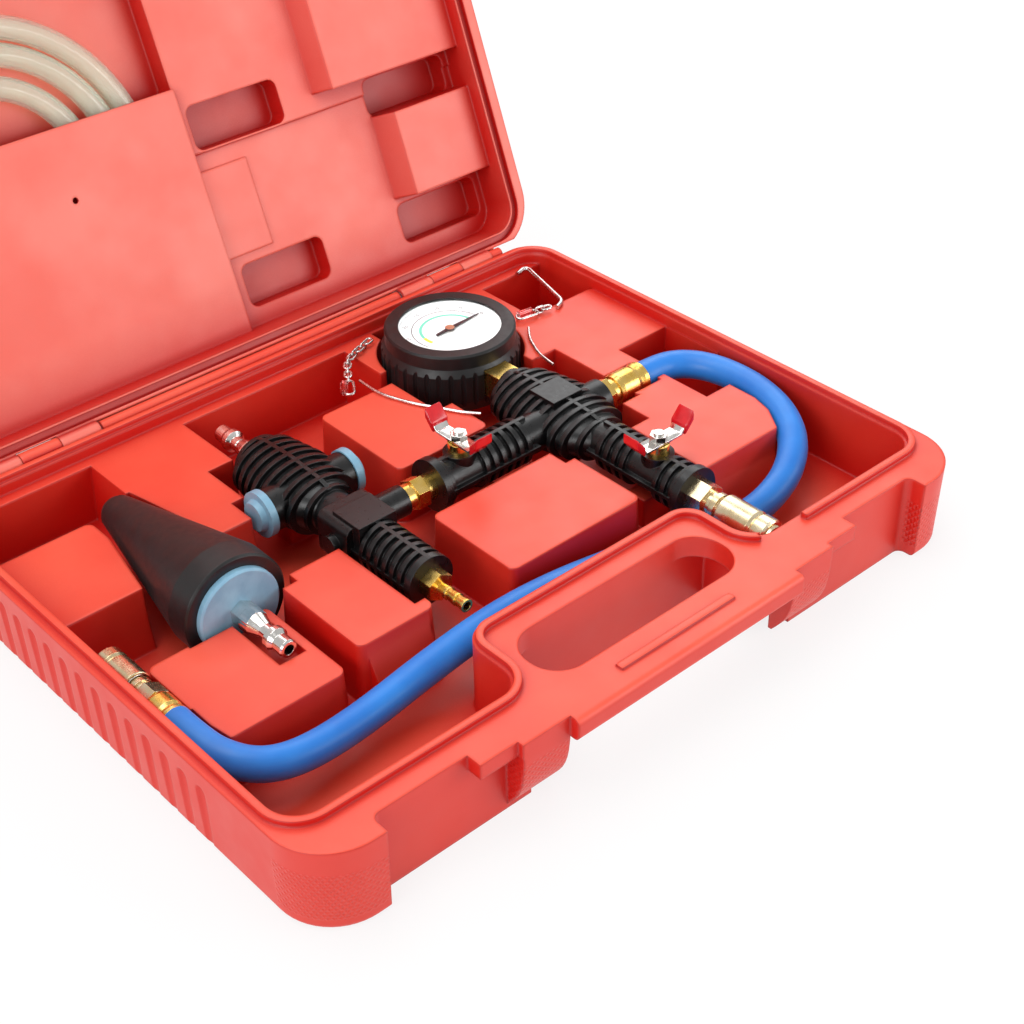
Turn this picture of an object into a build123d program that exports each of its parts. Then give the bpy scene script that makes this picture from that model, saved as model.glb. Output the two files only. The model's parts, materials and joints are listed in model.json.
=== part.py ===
from build123d import *
import os
from math import acos, atan2, ceil, cos, degrees, hypot, pi, radians, sin, sqrt, tan

# Coolant vacuum filler in its moulded carrying case, with the lid standing open.
# Case coordinates while building: X from the left wall, Y from the front bumpers to
# the hinge, Z from the top of the tray rim. The finished pieces are moved so that the
# origin is the middle of the underside. Lengths are millimetres.

os.makedirs("parts", exist_ok=True)

# Fits shared by all pieces
overrun = 1.0
seat_gap = 0.3
running_fit = 0.05
free_gap = 0.6
nest_gap = 2.5
quarter = 90
half_turn = 180
hex_sides = 6

# Case base, blow-moulded, with a draft on its outside and a flat floor
case_width = 400.0
case_depth = 313.0
base_height = 43.8
front_corner_radius = 29.0
back_corner_radius = 25.0
wall_draft = 1.5
underside_fillet = 3.0
tray_side_wall = 8.5
tray_front_wall = 26.0
tray_back_wall = 7.0
tray_corner_radius = 14.0
floor_thickness = 5.8
deck_drop = 6.0
lip_offset = 1.5
lip_width = 3.3
lip_height = 3.0

# Front of the base: bumpers at the corners, recessed faces, latch tabs and legs
bumper_width = 35.0
front_recess = 10.5
tab_width = 20.0
tab_reach = 8.0
tab_thickness = 8.0
leg_width = 14.0
leg_reach = 13.0
leg_drop = 12.0
leg_rounding = 8.0
recess_edge_radius = 4.0

# Carrying handle: a bar across the front, the hand recess below it and the slot behind
bar_reach = 16.5
bar_depth = 25.0
bar_thickness = 11.4
bar_length = 164.0
bar_rounding = 3.0
bar_rib_length = 70.0
bar_rib_width = 4.0
bar_rib_height = 1.2
slot_length = 120.0
slot_depth = 33.0
slot_end_radius = 15.5
hand_recess_depth = 52.0
handle_block_width = 142.0
handle_block_depth = 68.0

# Grip flutes in the side walls
flute_pitch = 13.3
flute_radius = 4.0
flute_bite = 2.2
flute_band = 12.5
flute_count = 15
flute_middle_share = 0.545

# Hinge: knuckles on both halves round two steel pins
hinge_setback = 4.0
knuckle_radius = 4.5
knuckle_length = 22.0
knuckle_gap = 0.4
hinge_pin_radius = 2.0
hinge_station_shares = (0.17, 0.83)
lid_angle = 111.7

# Lid, a second moulded shell with moulded pockets, seen from its inner side
lid_depth = 41.0
lid_flange_out = 3.0
lid_flange_depth = 8.0
lid_fillet = 5.0
lid_wall = 9.0
lid_panel_depth = 24.0
lid_low_panel_depth = 10.0
lid_pocket_floor = 36.0
hose_plate_depth = 19.0
hose_plate_thickness = 2.0
lid_pocket_radius = 5.0
pip_radius = 1.6

# Latches on the lid front
latch_width = 18.0
latch_height = 16.0
latch_pin_radius = 1.5
latch_barrel_radius = 3.6
latch_plate = 2.6
latch_hook = 2.6
latch_open_angle = 65.0
ear_width = 5.0

# Where the tools lie in the tray, as shares of the case
manifold_x_share = 0.7213
arm_y_share = 0.5495
axis_drop = 8.0
cone_x_share = 0.19
cone_axis_drop = 9.0
cone_face_y_share = 0.511

# Manifold: a ribbed body with two valve arms, moulded in black nylon
body_half_width = 27.0
body_half_length = 36.0
body_half_height = 14.0
body_centre_shift = 5.0
core_share = 0.86
rib_thickness = 2.6
rib_pitch = 6.4
blank_pad_width = 20.0
blank_pad_length = 18.0
arm_core_radius = 10.4
arm_rib_radius = 12.5
arm_rib_pitch = 5.6
arm_length = 62.5
front_arm_length = 63.0
flange_thickness = 2.0
flange_half_width = 13.0
ridge_width = 2.2
flow_radius = 4.0

# Ball valves in the arms
collar_radius = 14.0
collar_length = 4.5
collar_plug_radius = 8.2
ball_radius = 7.0
ball_setback = 19.5
front_ball_setback = 26.0
seat_length = 6.5
stem_radius = 2.6
stem_top = 15.6
gland_radius = 5.6
gland_top = 9.4
gland_bottom = 1.6
tang_depth = 2.4
tang_thickness = 2.0
handle_plate = 1.4
handle_hub_radius = 6.4
handle_half_width = 4.2
handle_flat = 12.5
handle_rise_run = 8.0
handle_rise = 5.0
handle_turn = 90
grip_wall = 1.1
grip_share = 0.55
nut_across = 8.0
nut_height = 3.4

# Union between the venturi and the manifold
union_length = 17.5
union_hex_across = 15.0
union_hex_length = 7.0
union_radius = 6.3
union_bore = 3.2
thread_depth = 7.0

# Venturi vacuum pump
port_reach = 30.0
port_radius = 8.0
pump_half_width = 24.0
pump_half_height = 16.5
pump_length = 66.0
pump_gap_to_arm = 14.0
neck_radius = 11.0
tail_radius = 13.0
tail_core_radius = 10.8
tail_length = 43.0
tail_ring_length = 4.0
junction_half = 15.0
junction_pad_width = 22.0
junction_pad_length = 20.0
boss_radius = 5.0
boss_length = 3.5
pump_bore = 6.0
nozzle_radius = 5.0
nozzle_throat = 1.6
nozzle_length = 40.0
silencer_radius = 12.0
silencer_step_radius = 8.5
silencer_thickness = 4.0
silencer_step = 3.0
silencer_y_share = 0.36
tail_hex_across = 13.0
tail_hex_length = 7.0
barb_radius = 3.3
barb_length = 24.0
barb_count = 4
barb_bore = 2.2

# Chrome air nipples, of one pattern
nipple_length = 30.0
nipple_radius = 5.9
nipple_tip_radius = 4.0
nipple_bore = 2.6
nipple_hex_across = 11.0
nipple_hex_length = 6.0
nipple_thread_length = 12.0
nipple_thread_radius = 4.6

# Radiator cone adapter
cone_radius = 27.0
cone_tip_radius = 8.5
cone_collar = 14.0
cone_length = 104.0
cone_tip_rounding = 4.0
cone_bore = 3.4
washer_radius = 21.4
washer_thickness = 3.6
cone_nipple_radius = 3.5

# Vacuum gauge in its rubber boot
gauge_gap = 12.5
boot_radius = 38.0
boot_top_radius = 35.8
boot_top = 10.0
boot_bottom = -26.0
boot_wall = 4.2
boot_lip_height = 1.2
scallop_count = 36
scallop_radius = 1.5
scallop_top = 1.0
can_wall = 1.2
dial_radius = 29.0
dial_thickness = 0.8
lens_thickness = 1.2
lens_gap = 2.0
needle_length = 22.0
needle_tail = 10.0
needle_thickness = 0.6
needle_half_width = 0.7
needle_hub_radius = 2.6
needle_hub_height = 1.2
arbor_radius = 0.8
needle_rest_angle = 4.0
stem_block = 15.0
stem_block_length = 14.0
stem_shank_radius = 5.0
tube_ring_radius = 20.0
tube_radius = 1.8
tube_arc = 250.0
movement_width = 16.0
movement_length = 20.0
movement_plate = 1.6
movement_post_radius = 1.5

# Quick couplers, one on the front arm and one on the end of the blue hose
coupler_length = 50.0
coupler_hex_across = 16.4
coupler_hex_length = 10.0
coupler_neck_radius = 6.4
coupler_barrel_radius = 6.2
coupler_collar_radius = 7.5
coupler_bore = 4.6
coupler_through = 2.8
sleeve_radius = 9.0
sleeve_length = 29.0
sleeve_groove = 1.0
sleeve_groove_width = 3.0
sleeve_travel = 3.0
spring_wire_radius = 0.42
spring_turns = 4
coupler_lip = 0.7
coupler_lip_length = 1.6
hose_coupler_share = 0.82

# Blue rubber hose with a ferrule at each end
hose_radius = 7.7
hose_bore = 4.5
ferrule_length = 20.0
ferrule_radius = 8.9
ferrule_wall = 0.7
swivel_nut_length = 9.0
swivel_nut_across = 17.0

# Hanging hook with its chain, clips and wire
wire_radius = 0.8
hook_wire_radius = 1.3
link_length = 7.4
link_width = 5.0
link_wire_radius = 0.65
clip_length = 15.0
clip_width = 6.5
clip_wire_radius = 0.7
sleeve_tube_radius = 2.1
sleeve_tube_length = 9.0

# Clear suction hose, coiled in the lid pocket
clear_radius = 6.25
clear_bore = 4.6
coil_pitch = 13.5
coil_first_radius = 54.0
coil_half_turns = 6

# Derived places
floor_top = floor_thickness - base_height
deck = -deck_drop
middle_x = case_width / 2
hinge_y = case_depth + hinge_setback
middle_y = hinge_y / 2
tray_left = tray_side_wall
tray_right = case_width - tray_side_wall
tray_back = case_depth - tray_back_wall
tray_width = tray_right - tray_left
tray_length = tray_back - tray_front_wall
manifold_x = case_width * manifold_x_share
arm_y = case_depth * arm_y_share
manifold_y = arm_y + body_centre_shift
axis_z = -axis_drop
arm_tip_x = manifold_x - body_half_width - arm_length
arm_tip_y = manifold_y - body_half_length - front_arm_length
valve_x = arm_tip_x + ball_setback
valve_y = arm_tip_y + front_ball_setback
venturi_x = arm_tip_x - collar_length - union_length - port_reach + collar_length
pump_front = arm_y + pump_gap_to_arm
pump_back = pump_front + pump_length
tail_front = arm_y - junction_half - tail_length
silencer_y = pump_front + pump_length * silencer_y_share
gauge_x = manifold_x
gauge_y = manifold_y + body_half_length + gauge_gap + boot_radius - nest_gap
cone_x = case_width * cone_x_share
cone_z = -cone_axis_drop
cone_front = case_depth * cone_face_y_share
hose_fitting_x = manifold_x + body_half_width
coupler_front = arm_tip_y - coupler_length
to_base = Pos(-middle_x, -middle_y, base_height)
recess_inner = middle_x - bar_length / 2
leg_outer = recess_inner - leg_width - tab_width
handle_block_left = middle_x - handle_block_width / 2
slot_front = hand_recess_depth - slot_depth


# Blocks and turned forms

def block(x0, x1, y0, y1, z0, z1):
    return Pos((x0 + x1) / 2, (y0 + y1) / 2, (z0 + z1) / 2) * Box(x1 - x0, y1 - y0, z1 - z0)


def slab(points, z0, z1, radius=0):
    outline = make_face(Polyline(*points, close=True))
    if radius:
        outline = fillet(outline.vertices(), radius)
    return Pos(0, 0, z0) * extrude(outline, amount=z1 - z0)


def rod_x(x0, x1, y, z, radius):
    return Pos((x0 + x1) / 2, y, z) * Rot(Y=quarter) * Cylinder(radius, abs(x1 - x0))


def rod_y(x, y0, y1, z, radius):
    return Pos(x, (y0 + y1) / 2, z) * Rot(X=quarter) * Cylinder(radius, abs(y1 - y0))


def rod_z(x, y, z0, z1, radius):
    return Pos(x, y, (z0 + z1) / 2) * Cylinder(radius, z1 - z0)


def turned(profile):
    # A profile of (distance along, radius) pairs turned about X
    return revolve(make_face(Polyline(*profile, close=True)), axis=Axis.X)


def along_x(x, y, z):
    return Pos(x, y, z)


def along_minus_x(x, y, z):
    return Pos(x, y, z) * Rot(Z=half_turn)


def along_y(x, y, z):
    return Pos(x, y, z) * Rot(Z=quarter)


def along_minus_y(x, y, z):
    return Pos(x, y, z) * Rot(Z=-quarter)


def hexagon(start, end, across):
    prism = extrude(RegularPolygon(across / 2, hex_sides, major_radius=False), amount=end - start)
    return Pos(start, 0, 0) * Rot(Y=quarter) * prism


def mirrored(shape):
    return shape + mirror(shape, Plane.YZ.offset(middle_x))


def save(name, shape, place=to_base):
    placed = place * shape
    solids = placed.solids()
    result = solids[0] if len(solids) == 1 else Compound(children=list(solids))
    export_step(result, f"parts/{name}.step")
    return result


def tray_outline(grow=0):
    # The tray's inner wall, which steps back round the handle, grown by a distance
    step_right = case_width - handle_block_left
    corners = [(tray_left, tray_front_wall), (handle_block_left, tray_front_wall),
               (handle_block_left, handle_block_depth), (step_right, handle_block_depth),
               (step_right, tray_front_wall), (tray_right, tray_front_wall),
               (tray_right, tray_back), (tray_left, tray_back)]
    outline = make_face(Polyline(*corners, close=True))
    outline = fillet(outline.vertices(), tray_corner_radius)
    return offset(outline, grow) if grow else outline


# Case base

def case_block():
    outline = Pos(middle_x, case_depth / 2) * Rectangle(case_width, case_depth)
    rows = outline.vertices().group_by(Axis.Y)
    outline = fillet(rows[0], front_corner_radius)
    rows = outline.vertices().group_by(Axis.Y)
    outline = fillet(rows[-1], back_corner_radius)
    body = extrude(outline, amount=base_height, dir=(0, 0, -1), taper=wall_draft)
    under = body.faces().sort_by(Axis.Z)[0]
    return fillet(under.edges(), underside_fillet)


def front_leg():
    # Rounded leg under the bar's end, with the latch tab beside its top
    outer = leg_outer
    leg = block(outer, recess_inner, front_recess - leg_reach, front_recess + overrun,
                -base_height, -leg_drop)
    low = leg.faces().sort_by(Axis.Y)[0].edges().sort_by(Axis.Z)[0]
    leg = fillet(low, leg_rounding)
    top = block(recess_inner - leg_width, recess_inner, front_recess - leg_reach,
                front_recess + overrun, -leg_drop - overrun, 0)
    tab = block(outer, recess_inner, front_recess - tab_reach, front_recess + overrun,
                -tab_thickness, 0)
    return leg + top + tab


def handle_bar():
    front, back = front_recess - bar_reach, slot_front
    bar = block(recess_inner - overrun, case_width - recess_inner + overrun, front, back + overrun,
                -bar_thickness, 0)
    edges = bar.faces().sort_by(Axis.Y)[0].edges().filter_by(Axis.X)
    bar = fillet(edges, bar_rounding)
    rib_y = (front + back) / 2
    rib = block(middle_x - bar_rib_length / 2, middle_x + bar_rib_length / 2,
                rib_y - bar_rib_width / 2, rib_y + bar_rib_width / 2, -overrun, bar_rib_height)
    return bar + rib


def handle_slot(top, bottom):
    opening = Pos(middle_x, (slot_front + hand_recess_depth) / 2)
    opening *= RectangleRounded(slot_length, slot_depth, slot_end_radius)
    return Pos(0, 0, bottom) * extrude(opening, amount=top - bottom)


def hand_recess(bottom, top):
    # Room for the fingers: wide in front, and narrower between the tray's pockets
    wall = tray_back_wall / 2
    front = block(recess_inner, case_width - recess_inner, -case_depth, tray_front_wall - wall,
                  bottom, top)
    side = handle_block_left + wall
    return front + block(side, case_width - side, 0, hand_recess_depth, bottom, top)


def grip_flutes():
    first = case_depth * flute_middle_share - flute_pitch * (flute_count - 1) / 2
    cuts = []
    for i in range(flute_count):
        y = first + flute_pitch * i
        cut = rod_z(flute_bite - flute_radius, y, -base_height - overrun, -flute_band, flute_radius)
        cuts += [cut, Pos(flute_bite - flute_radius, y, -flute_band) * Sphere(flute_radius)]
    return mirrored(Part() + cuts)


# Moulded islands that carry the tools, each a share of the tray's length and depth
# (left, right, front, back, front slope), with the deck as their top
island_shares = [
    (0.0, 0.134, 0.6125, 0.827, 0.02),
    (0.2, 0.343, 0.648, 0.985, 0.03),
    (0.043, 0.206, 0.246, 0.461, 0.012),
    (0.232, 0.343, 0.255, 0.479, 0.05),
    (0.453, 0.67, 0.236, 0.443, 0.014),
    (0.487, 0.64, 0.586, 0.821, 0.012),
    (0.77, 0.949, 0.221, 0.47, 0.03),
    (0.839, 1.0, 0.4675, 0.825, 0.012),
    (0.617, 0.878, 0.7, 0.985, 0.0),
]
island_radius = 4.0
island_draft = 3.0
ledge_share = 0.975
low_box_shares = [(0.035, 0.121, 0.014, 0.086), (0.205, 0.278, 0.007, 0.086)]
low_box_height = 3.0
hose_notch_share = 0.903
hose_notch_front_share = 0.379
hose_notch_back_share = 0.611


def tray_x(share):
    return tray_left + tray_width * share


def tray_y(share):
    return tray_front_wall + tray_length * share


def island(left, right, front, back, slope):
    x0, x1 = tray_x(left), tray_x(right)
    y0, y1 = tray_y(front), tray_y(back)
    wide = overrun if left == 0 else 0
    far = overrun if right == 1 else 0
    x0, x1 = x0 - wide, x1 + far
    top = Pos((x0 + x1) / 2, (y0 + y1) / 2, deck) * RectangleRounded(x1 - x0, y1 - y0, island_radius)
    height = deck - floor_top + overrun
    shape = extrude(top, amount=height, dir=(0, 0, -1), taper=-island_draft)
    run = tray_length * slope
    wedge = make_face(Polyline((y0 + island_radius, deck), (y0 - run, floor_top - overrun),
                               (y0 + island_radius, floor_top - overrun), close=True))
    wedge = extrude(wedge, amount=x1 - x0 - island_radius * 2)
    wedge = Pos(x0 + island_radius, 0, 0) * Rot(Z=quarter) * Rot(X=quarter) * wedge
    return shape + wedge


def nests():
    # Clearances cut into the islands round each tool
    top = deck + overrun
    low = floor_top
    gap = nest_gap
    cone_wide = cone_radius + gap
    cone_end = cone_front + cone_length + gap
    cone_tip_wide = cone_tip_radius + gap
    collar_end = cone_front + cone_collar + gap
    cone_nest = slab([(cone_x - cone_wide, cone_front - washer_thickness - gap),
                      (cone_x + cone_wide, cone_front - washer_thickness - gap),
                      (cone_x + cone_wide, collar_end), (cone_x + cone_tip_wide, cone_end),
                      (cone_x - cone_tip_wide, cone_end), (cone_x - cone_wide, collar_end)],
                     low, top)
    slot = nipple_radius + gap / 2
    nipple_end = cone_front - washer_thickness - nipple_hex_length - nipple_length - gap
    nipple_slot = block(cone_x - slot, cone_x + slot, nipple_end, cone_front,
                        cone_z - slot - gap, top)
    wide = pump_half_width + gap
    pump_nest = block(venturi_x - wide, venturi_x + wide, pump_front - gap * 2, pump_back + gap,
                      low, top)
    side = pump_half_width + silencer_step + silencer_thickness + gap
    silencer_nest = block(venturi_x - side, venturi_x + side, silencer_y - silencer_radius - gap,
                          silencer_y + silencer_radius + gap, low, top)
    neck = junction_half + gap
    tail_nest = block(venturi_x - neck, venturi_x + neck, tail_front - tail_hex_length - gap,
                      pump_front, low, top)
    barb = barb_radius + gap * 2
    barb_slot = block(venturi_x - barb, venturi_x + barb,
                      tail_front - tail_hex_length - barb_length - gap, tail_front,
                      axis_z - barb, top)
    nipple = nipple_radius + gap * 2
    nipple_pocket = block(venturi_x - nipple, venturi_x + nipple, pump_back,
                          pump_back + nipple_length + gap * 2, axis_z - nipple - gap, top)
    arm = collar_radius + gap
    arm_nest = block(venturi_x, manifold_x, arm_y - arm, arm_y + arm, low, top)
    front_arm_nest = block(manifold_x - arm, manifold_x + arm, coupler_front - gap, manifold_y,
                           low, top)
    half_x, half_y = body_half_width + gap, body_half_length + gap
    body_nest = block(manifold_x - half_x, manifold_x + half_x, manifold_y - half_y,
                      manifold_y + half_y, low, top)
    gauge_nest = rod_z(gauge_x, gauge_y, low, top, boot_radius + gap)
    fitting_end = hose_fitting_x + swivel_nut_length + ferrule_length + gap
    fitting = ferrule_radius + gap
    fitting_nest = block(manifold_x, fitting_end + gap, arm_y - fitting, arm_y + fitting, low, top)
    hose_notch = block(tray_x(hose_notch_share), tray_right - free_gap, tray_y(hose_notch_front_share),
                       tray_y(hose_notch_back_share), low, top)
    bed = trace(Polyline(*[(x, y) for x, y, z in [hose_start] + hose_route + [hose_end]]),
                (hose_radius + free_gap * 2) * 2)
    hose_bed = Pos(0, 0, low) * extrude(bed, amount=top - low)
    return (cone_nest + nipple_slot + pump_nest + silencer_nest + tail_nest + barb_slot
            + nipple_pocket + arm_nest + front_arm_nest + body_nest + gauge_nest + fitting_nest
            + hose_notch + hose_bed)


def saddle(x, y, width, length, top):
    return block(x - width / 2, x + width / 2, y - length / 2, y + length / 2,
                 floor_top - overrun, top - seat_gap)


saddle_width = 18.0
saddle_length = 12.0
gauge_seat_radius = 26.0
cone_saddle_share = 0.06


def saddles():
    # Low moulded steps that the tools rest on
    pump = saddle(venturi_x, (pump_front + pump_back) / 2, saddle_width, saddle_length,
                  axis_z - pump_half_height)
    tail = saddle(venturi_x, tail_front + tail_length / 2, saddle_width, saddle_length,
                  axis_z - tail_radius)
    arm = saddle(arm_tip_x + arm_length / 2, arm_y, saddle_length, saddle_width,
                 axis_z - flange_half_width)
    front_arm = saddle(manifold_x, arm_tip_y + front_arm_length / 2, saddle_width, saddle_length,
                       axis_z - flange_half_width)
    body = saddle(manifold_x, manifold_y, saddle_width, saddle_width, axis_z - body_half_height)
    gauge = rod_z(gauge_x, gauge_y, floor_top - overrun, boot_bottom - seat_gap, gauge_seat_radius)
    cone = saddle(cone_x, cone_front + cone_collar / 2, saddle_width, saddle_length,
                  cone_z - cone_radius)
    left = saddle(left_coupler_x, left_coupler_y + coupler_length / 2, saddle_length, saddle_width,
                  left_coupler_z - sleeve_radius * hose_coupler_share)
    return pump + tail + arm + front_arm + body + gauge + cone + left


left_coupler_x = tray_left + sleeve_radius * hose_coupler_share + free_gap
left_coupler_z = -14.0
left_coupler_y_share = 0.43
left_coupler_y = case_depth * left_coupler_y_share


def knuckles(first, second):
    # Every other knuckle of each hinge, between two distances along it
    parts = []
    for share in hinge_station_shares:
        centre = case_width * share
        parts.append((centre + first, centre + second))
    return parts


def case_base():
    body = case_block()
    tray = Pos(0, 0, floor_top) * extrude(tray_outline(), amount=base_height)
    body -= tray
    carriers = Part()
    for shares in island_shares:
        carriers += island(*shares)
    ledge = block(tray_left - overrun, tray_right + overrun, tray_y(ledge_share), tray_back + overrun,
                  floor_top - overrun, deck)
    carriers += ledge
    carriers -= nests()
    for left, right, front, back in low_box_shares:
        carriers += block(tray_x(left), tray_x(right), tray_y(front), tray_y(back),
                          floor_top - overrun, floor_top + low_box_height)
    carriers += saddles()
    inside = Pos(0, 0, floor_top - overrun) * extrude(tray_outline(overrun), amount=base_height)
    body += carriers & inside
    lip = offset(tray_outline(), lip_offset + lip_width) - offset(tray_outline(), lip_offset)
    body += extrude(lip, amount=lip_height)
    notch = collar_radius
    body -= block(manifold_x - notch, manifold_x + notch, 0, tray_front_wall + overrun,
                  0, lip_height + overrun)
    recess = block(bumper_width, recess_inner + overrun, -overrun, front_recess,
                   -base_height - overrun, lip_height + overrun)
    recess = fillet(recess.edges().filter_by(Axis.Z).sort_by(Axis.Y)[-2:], recess_edge_radius)
    body -= mirrored(recess)
    body -= hand_recess(-base_height - overrun, -bar_thickness)
    front_cut = block(recess_inner - overrun, case_width - recess_inner + overrun, -overrun,
                      front_recess, -base_height, overrun)
    body -= front_cut
    body += mirrored(front_leg())
    body += handle_bar()
    body -= handle_slot(overrun, -base_height)
    body -= grip_flutes()
    return hinge_half(body, base_knuckle_spans(), -1)


def base_knuckle_spans():
    reach = knuckle_length / 2
    return knuckles(-reach, reach)


def lid_knuckle_spans():
    reach = knuckle_length / 2 + knuckle_gap
    return knuckles(reach, reach + knuckle_length) + knuckles(-reach - knuckle_length, -reach)


def hinge_half(body, spans, side):
    # Adds barrels on the hinge line, joined to the wall, and drills them for the pin
    for x0, x1 in spans:
        body += rod_x(x0, x1, hinge_y, 0, knuckle_radius)
        if side < 0:
            body += block(x0, x1, hinge_y - hinge_setback - overrun, hinge_y, -knuckle_radius * 2, 0)
        else:
            body += block(x0, x1, hinge_y - hinge_setback - overrun, hinge_y, seat_gap,
                          knuckle_radius * 2)
        body -= rod_x(x0 - overrun, x1 + overrun, hinge_y, 0, hinge_pin_radius + running_fit)
    return body


def clear_of_knuckles(spans):
    # Room in the other half's wall for these barrels
    cuts = []
    for x0, x1 in spans:
        cuts.append(rod_x(x0 - knuckle_gap, x1 + knuckle_gap, hinge_y, 0, knuckle_radius + free_gap))
    return Part() + cuts


def hinge_pins():
    reach = knuckle_length * 1.5
    pins = [rod_x(case_width * share - reach, case_width * share + reach, hinge_y, 0, hinge_pin_radius)
            for share in hinge_station_shares]
    return Compound(children=pins)


# Lid, modelled closed over the tray and then swung open

def lid_y(distance):
    return hinge_y - distance


def lid_field(x0, x1, v0, v1, z0, z1, radius=0):
    # A block of the lid between two distances from the hinge
    shape = block(x0, x1, lid_y(v1), lid_y(v0), z0, z1)
    return fillet(shape.edges().filter_by(Axis.Z), radius) if radius else shape


# Moulded fields of the lid as shares of the case width and of the lid's length
plate_right_share = 0.5325
plate_left_share = 0.03
plate_near_share = 0.085
plate_mouth_share = 0.4575
cavity_far_share = 0.915
step_line_share = 0.344
panel_step = 1.5
window_shares = [(0.5425, 0.6875, 0.347, 0.423), (0.8225, 0.9675, 0.303, 0.369),
                 (0.55, 0.6875, 0.066, 0.142), (0.8225, 0.9675, 0.066, 0.139)]
raised_shares = [(0.8425, 0.1515, 0.303), (0.755, 0.3755, 0.5835)]
raised_slope = 8.0
pip_place_shares = (0.35, 0.341)


def raised_panel(left_share, near_share, far_share):
    x0, x1 = case_width * left_share, tray_right + overrun
    near, far = hinge_y * near_share, hinge_y * far_share
    low, top = lid_panel_depth + overrun, lid_low_panel_depth
    side = make_face(Polyline((x0 - raised_slope, low), (x0, top), (x1, top), (x1, low), close=True))
    side = extrude(side, amount=far - near)
    return Pos(0, lid_y(near), 0) * Rot(X=quarter) * side


def lid_pockets():
    outline = tray_outline()
    cut = Pos(0, 0, -overrun) * extrude(outline, amount=hose_plate_depth + overrun)
    split = case_width * plate_right_share
    panels = block(split, tray_right, tray_front_wall, tray_back, 0, lid_panel_depth - panel_step)
    near_panels = lid_field(split, tray_right, 0, hinge_y * step_line_share, 0, lid_panel_depth)
    inner = Pos(0, 0, -overrun) * extrude(outline, amount=lid_depth)
    cut += (panels + near_panels) & inner
    for left, near, far in raised_shares:
        cut -= raised_panel(left, near, far)
    outside = hinge_y * plate_near_share
    left = case_width * plate_left_share
    mouth = hinge_y * plate_mouth_share
    cavity = lid_field(left, split, mouth, hinge_y * cavity_far_share, 0, lid_pocket_floor)
    cavity = cavity & inner
    cut += cavity
    back = hose_plate_depth + hose_plate_thickness
    cut += lid_field(left, split - free_gap, outside, mouth + overrun, back, lid_pocket_floor)
    for x0, x1, v0, v1 in window_shares:
        cut += lid_field(case_width * x0, case_width * x1, hinge_y * v0, hinge_y * v1,
                         0, lid_pocket_floor, lid_pocket_radius)
    pip_x, pip_v = case_width * pip_place_shares[0], hinge_y * pip_place_shares[1]
    return cut + rod_z(pip_x, lid_y(pip_v), 0, lid_pocket_floor, pip_radius)


def latch_x():
    return leg_outer + tab_width / 2


def latch_y():
    return front_recess - tab_reach - free_gap - latch_plate + latch_barrel_radius


def lid_leg():
    x0, x1 = recess_inner - leg_width, recess_inner
    leg = block(x0, x1, front_recess - leg_reach, front_recess + overrun, seat_gap,
                lid_depth - lid_fillet)
    ear_reach = latch_width / 2 + free_gap
    centre = latch_x()
    front, back = latch_y() - latch_barrel_radius, front_recess + overrun
    low, top = latch_height - latch_barrel_radius, latch_height + latch_barrel_radius
    ears = block(centre - ear_reach - ear_width, centre - ear_reach, front, back, low, top)
    ears += block(centre + ear_reach, centre + ear_reach + ear_width, front, back, low, top)
    pin = rod_x(centre - ear_reach - ear_width, centre + ear_reach + ear_width - overrun,
                latch_y(), latch_height, latch_pin_radius)
    return leg + ears - pin


def case_lid():
    outline = Pos(middle_x, case_depth / 2) * Rectangle(case_width, case_depth)
    outline = fillet(outline.vertices().group_by(Axis.Y)[0], front_corner_radius)
    outline = fillet(outline.vertices().group_by(Axis.Y)[-1], back_corner_radius)
    shell = extrude(outline, amount=lid_depth - seat_gap, taper=wall_draft)
    shell = fillet(shell.faces().sort_by(Axis.Z)[-1].edges(), lid_fillet)
    flange = extrude(offset(outline, lid_flange_out), amount=lid_flange_depth)
    flange &= block(-case_width, case_width * 2, -case_depth, case_depth, 0, lid_depth)
    lid = Pos(0, 0, seat_gap) * (shell + flange)
    lid -= lid_pockets()
    groove = offset(tray_outline(), lip_offset + lip_width + free_gap)
    groove -= offset(tray_outline(), lip_offset - free_gap)
    lid -= extrude(groove, amount=lip_height + free_gap)
    recess = block(bumper_width, recess_inner + overrun, -case_depth, front_recess,
                   -overrun, lid_depth + overrun)
    lid -= mirrored(recess)
    lid -= hand_recess(bar_thickness, lid_depth + overrun)
    lid -= block(recess_inner - overrun, case_width - recess_inner + overrun, -case_depth,
                 front_recess, -overrun, lid_depth)
    bar = block(recess_inner - overrun, case_width - recess_inner + overrun,
                front_recess - bar_reach, slot_front + overrun, seat_gap, bar_thickness)
    bar = fillet(bar.faces().sort_by(Axis.Y)[0].edges().filter_by(Axis.X), bar_rounding)
    bar -= block(middle_x - bar_rib_length / 2 - free_gap, middle_x + bar_rib_length / 2 + free_gap,
                 (front_recess - bar_reach + slot_front) / 2 - bar_rib_width,
                 (front_recess - bar_reach + slot_front) / 2 + bar_rib_width,
                 0, bar_rib_height + free_gap)
    lid += bar
    lid += mirrored(lid_leg())
    lid -= handle_slot(lid_depth + overrun, -overrun)
    lid -= clear_of_knuckles(base_knuckle_spans())
    return hinge_half(lid, lid_knuckle_spans(), 1)


def swing_open(shape):
    return Pos(0, hinge_y, 0) * Rot(X=-lid_angle) * Pos(0, -hinge_y, 0) * shape


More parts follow.
